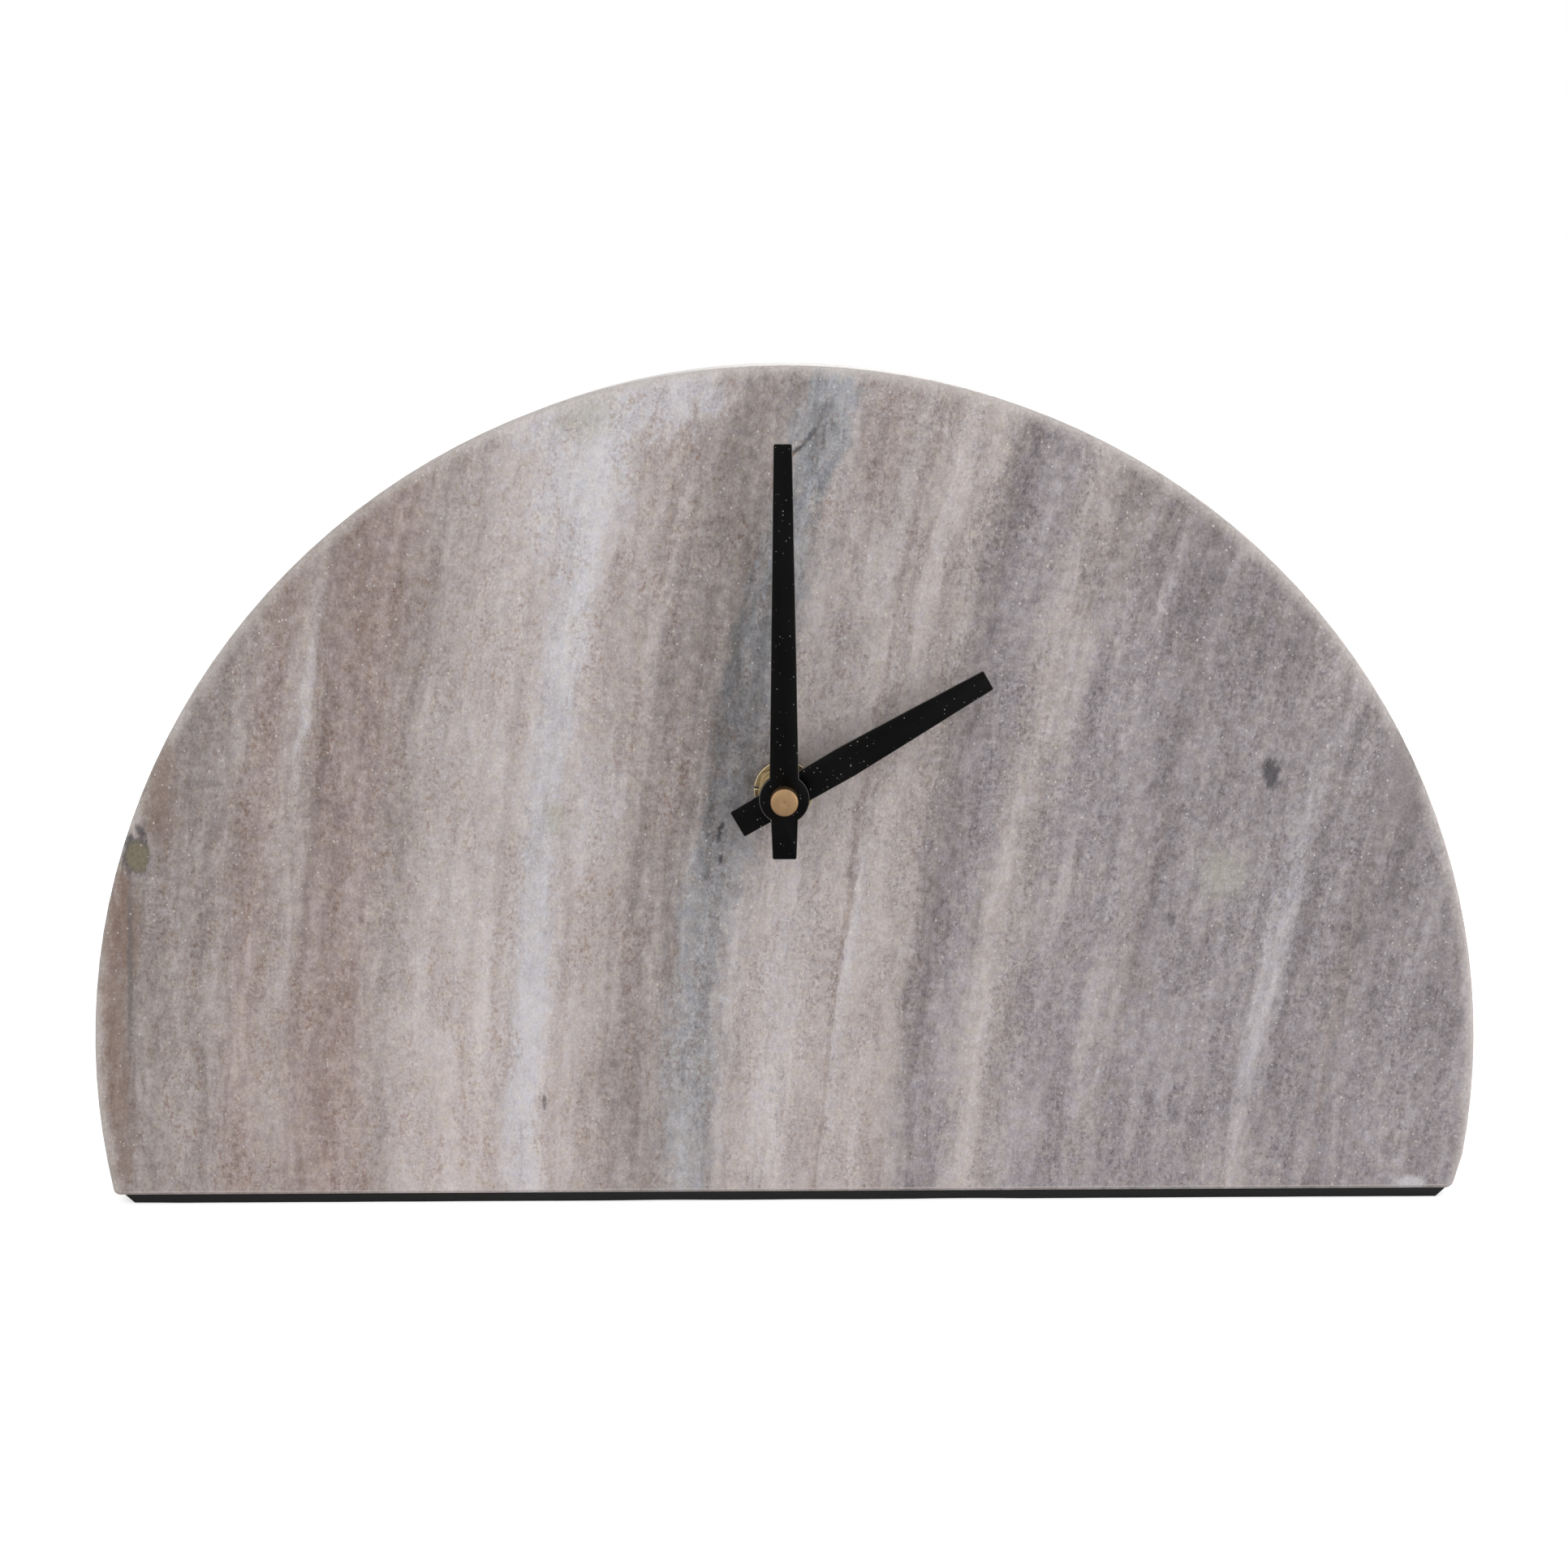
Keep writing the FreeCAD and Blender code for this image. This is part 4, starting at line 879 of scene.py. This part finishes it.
class CLOCK_OT_stage(ClockOperator, bpy.types.Operator):
    """Add the camera, the lamps, the floor and the white background"""

    bl_idname = "clock.stage"
    bl_label = "Stage"

    def execute(self, context):
        settings = context.scene.clock_stage
        self.camera(context, settings)
        self.lamps(context, settings)
        self.floor(context, settings)
        self.surround(context, settings)
        context.scene.view_settings.view_transform = "Standard"
        return {"FINISHED"}

    def camera(self, context, settings):
        """A camera where the photograph was taken from."""
        turn, dip, roll = (math.radians(value) for value in CAMERA_ANGLES)
        ahead = Vector((-math.sin(turn) * math.cos(dip), math.cos(turn) * math.cos(dip), -math.sin(dip)))
        right = ahead.cross((0, 0, 1)).normalized()
        up = right.cross(ahead)
        tipped = right * math.cos(roll) + up * math.sin(roll)
        upright = up * math.cos(roll) - right * math.sin(roll)
        data = bpy.data.cameras.new("view")
        data.lens = settings.lens
        data.sensor_width = 36.0
        data.clip_start = 0.02
        data.clip_end = 50.0
        camera = bpy.data.objects.new("view", data)
        camera.location = CAMERA_PLACE
        camera.rotation_euler = Matrix((tipped, upright, -ahead)).transposed().to_euler()
        context.scene.collection.objects.link(camera)
        context.scene.camera = camera

    def lamps(self, context, settings):
        """Soft square lamps that face the clock."""
        for name, place, size, share in LAMPS:
            data = bpy.data.lights.new(name, "AREA")
            data.shape = "SQUARE"
            data.size = size
            data.energy = settings.key * share
            lamp = bpy.data.objects.new(name, data)
            lamp.location = place
            aim = Vector(LAMPS_AIM) - Vector(place)
            lamp.rotation_euler = aim.to_track_quat("-Z", "Y").to_euler()
            context.scene.collection.objects.link(lamp)

    def floor(self, context, settings):
        """A plain pale floor that reads as white."""
        bm = bmesh.new()
        bmesh.ops.create_grid(bm, x_segments=8, y_segments=8, size=FLOOR_REACH)
        mesh = bpy.data.meshes.new("floor")
        bm.to_mesh(mesh)
        bm.free()
        material, wires, shader, place = new_material("floor", Roughness=0.9, Specular_IOR_Level=0.0)
        grain = wires.noise(place, 900.0, 2.0, 0.6)[0]
        dull = [part * 0.985 for part in settings.floor]
        colour = wires.blend(tuple(settings.floor), dull, wires.span(grain, 0.45, 0.75))
        wires.feed(shader["Base Color"], colour)
        seen = wires.add("ShaderNodeLightPath").outputs["Is Camera Ray"]
        wires.feed(shader["Emission Color"], (1.0, 1.0, 1.0))
        wires.feed(shader["Emission Strength"], wires.times(seen, FLOOR_GLOW))
        mesh.materials.append(material)
        floor = bpy.data.objects.new("floor", mesh)
        context.scene.collection.objects.link(floor)

    def surround(self, context, settings):
        """Even light from all round, seen as white."""
        world = bpy.data.worlds.new("surround")
        world.use_nodes = True
        world.node_tree.nodes.clear()
        wires = Wiring(world.node_tree)
        path = wires.add("ShaderNodeLightPath").outputs
        seen = wires.sum("MAXIMUM", path["Is Camera Ray"], path["Is Glossy Ray"])
        seen = wires.sum("MAXIMUM", seen, path["Is Transmission Ray"])
        strength = wires.span(seen, 0.0, 1.0, settings.surround, 1.0, False)
        back = wires.add("ShaderNodeBackground", {"Color": (1.0, 1.0, 1.0), "Strength": strength})
        end = wires.add("ShaderNodeOutputWorld")
        wires.feed(end.inputs["Surface"], back.outputs[0])
        context.scene.world = world


class CLOCK_OT_slab(ClockOperator, bpy.types.Operator):
    """Add the half-round marble slab with softly worn edges"""

    bl_idname = "clock.slab"
    bl_label = "Marble slab"

    def execute(self, context):
        bm = solid_copy("marble_slab")
        for vert in bm.verts:
            low = 1.0 - (vert.co.z - SLAB_LOW.z) / (WORN_HEIGHT * MM)
            if vert.co.x > WORN_FROM and low > 0.0:
                vert.co.x -= WORN_DEEP * MM * low ** 2
        rounded(bm, 0.3, 3, 25.0)
        finished("half_round_slab", bm, "marble_slab", "marble", context, 20.0)
        return {"FINISHED"}


class CLOCK_OT_base_strip(ClockOperator, bpy.types.Operator):
    """Add the thin rubber strip under the slab, its lower edge cut a little unevenly"""

    bl_idname = "clock.base_strip"
    bl_label = "Base strip"

    def execute(self, context):
        bm = solid_copy("base_pad")
        low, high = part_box("base_pad")
        for step in range(1, STRIP_CUTS):
            place = low.x + (high.x - low.x) * step / STRIP_CUTS
            bmesh.ops.bisect_plane(
                bm, geom=bm.verts[:] + bm.edges[:] + bm.faces[:], dist=SAME_PLACE,
                plane_co=(place, 0, 0), plane_no=(1, 0, 0))
        for vert in bm.verts:
            lift = noise.noise(Vector((vert.co.x * 38, vert.co.y * 5, 3.7)))
            draw = noise.noise(Vector((vert.co.x * 55, 1.3, 0)))
            if vert.co.z < low.z + 1e-5:
                vert.co.z += STRIP_RISE * max(0.0, lift + 0.15)
            vert.co.y -= math.copysign(STRIP_DRAW * abs(draw), vert.co.y)
        rounded(bm, 0.18, 2, 40.0)
        finished("base_strip", bm, "base_pad", "pad_foam", context)
        return {"FINISHED"}


class CLOCK_OT_fixing(ClockOperator, bpy.types.Operator):
    """Add the split washer and the hex nut that clamp the movement"""

    bl_idname = "clock.fixing"
    bl_label = "Washer and nut"

    def execute(self, context):
        low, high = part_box("spring_washer")
        radius, front, back = (high.z - low.z) / 2 / MM, low.y / MM, high.y / MM
        profile = [(WASHER_BORE, front), (radius, front), (radius, back), (WASHER_BORE, back)]
        washer = turned(profile, closed=True, sweep=WASHER_SWEEP, start=WASHER_START, steps=120)
        finished("split_washer", rounded(washer, 0.16, 3), "spring_washer", "hardware_brass", context)
        nut = rounded(solid_copy("hex_nut"), 0.16)
        finished("clamping_nut", nut, "hex_nut", "hardware_brass", context)
        return {"FINISHED"}


class CLOCK_OT_hands(ClockOperator, bpy.types.Operator):
    """Add the two black hands with their edges eased"""

    bl_idname = "clock.hands"
    bl_label = "Hands"

    def execute(self, context):
        for name, node, angle in (
                ("black_minute_hand", "minute_hand", 0.0), ("black_hour_hand", "hour_hand", 60.0)):
            bm = solid_copy(node)
            self.broaden(bm, math.radians(angle))
            finished(name, rounded(bm, 0.11), node, "hand_black", context)
        return {"FINISHED"}

    def broaden(self, bm, angle):
        """Makes the hand beyond its round boss about a quarter of a millimetre wider on each side."""
        along = Vector((math.sin(angle), 0.0, math.cos(angle)))
        across = along.cross((0.0, 1.0, 0.0))
        for vert in bm.verts:
            away = vert.co - Vector((0.0, 0.0, SHAFT_HEIGHT * MM))
            if abs(away.dot(along)) > BLADE_FROM * MM:
                vert.co += across * away.dot(across) * BLADE_WIDER


class CLOCK_OT_cap(ClockOperator, bpy.types.Operator):
    """Add the turned brass cap with its centre dimple and bevelled rim"""

    bl_idname = "clock.cap"
    bl_label = "Cap nut"

    def execute(self, context):
        radius = (CAP_HIGH.x - CAP_LOW.x) / 2 / MM
        front, back = CAP_LOW.y / MM, CAP_HIGH.y / MM
        profile = [
            (0.0, front + 0.06), (0.09, front + 0.05), (0.17, front + 0.01), (0.24, front),
            (radius - 0.26, front), (radius - 0.16, front + 0.03), (radius - 0.04, front + 0.14),
            (radius, front + 0.26), (radius, back - 0.15), (radius - 0.12, back), (CAP_BORE, back),
            (CAP_BORE, back - CAP_BORE_DEPTH), (0.0, back - CAP_BORE_DEPTH - 0.2)]
        finished("turned_cap", turned(profile), "cap_nut", "cap_brass", context)
        return {"FINISHED"}


class CLOCK_OT_movement(ClockOperator, bpy.types.Operator):
    """Add the movement case, its cover, the setting knob and the battery cell"""

    bl_idname = "clock.movement"
    bl_label = "Movement"

    def execute(self, context):
        for name, node, slot, width in MOVEMENT:
            finished(name, rounded(solid_copy(node), width), node, slot, context)
        return {"FINISHED"}


class CLOCK_OT_carried_parts(ClockOperator, bpy.types.Operator):
    """Give every carried over part its own finish"""

    bl_idname = "clock.carried_parts"
    bl_label = "Finish carried parts"

    def execute(self, context):
        slots = {part["node"]: part["material_slot"] for part in frame["record"]["subparts"]}
        made = finishes(context)
        for node, part in frame["nodes"].items():
            for holder in part.material_slots:
                holder.material = made[slots[node]]
        return {"FINISHED"}


class CLOCK_PT_panel(bpy.types.Panel):
    """Lists the clock's pieces in the sidebar"""

    bl_idname = "CLOCK_PT_panel"
    bl_label = "Marble clock"
    bl_space_type = "VIEW_3D"
    bl_region_type = "UI"
    bl_category = "Marble Clock"

    def draw(self, context):
        for step in STEPS:
            self.layout.operator(step.bl_idname)
        for settings in SETTINGS:
            group = getattr(context.scene, settings)
            box = self.layout.box()
            for name in group.bl_rna.properties.keys():
                if name not in ("rna_type", "name"):
                    box.prop(group, name)


STEPS = (
    CLOCK_OT_stage, CLOCK_OT_slab, CLOCK_OT_base_strip, CLOCK_OT_fixing, CLOCK_OT_hands, CLOCK_OT_cap,
    CLOCK_OT_movement, CLOCK_OT_carried_parts,
)
SETTINGS = {
    "clock_stone": StoneSettings, "clock_metal": MetalSettings, "clock_moulded": MouldedSettings,
    "clock_stage": StageSettings,
}


def register():
    for kind in (*SETTINGS.values(), *STEPS, CLOCK_PT_panel):
        bpy.utils.register_class(kind)
    for name, kind in SETTINGS.items():
        setattr(bpy.types.Scene, name, bpy.props.PointerProperty(type=kind))


def unregister():
    for name in SETTINGS:
        delattr(bpy.types.Scene, name)
    for kind in reversed((*SETTINGS.values(), *STEPS, CLOCK_PT_panel)):
        bpy.utils.unregister_class(kind)


def main():
    register()
    for step in STEPS:
        group, name = step.bl_idname.split(".")
        getattr(getattr(bpy.ops, group), name)()


if __name__ == "__main__":
    main()
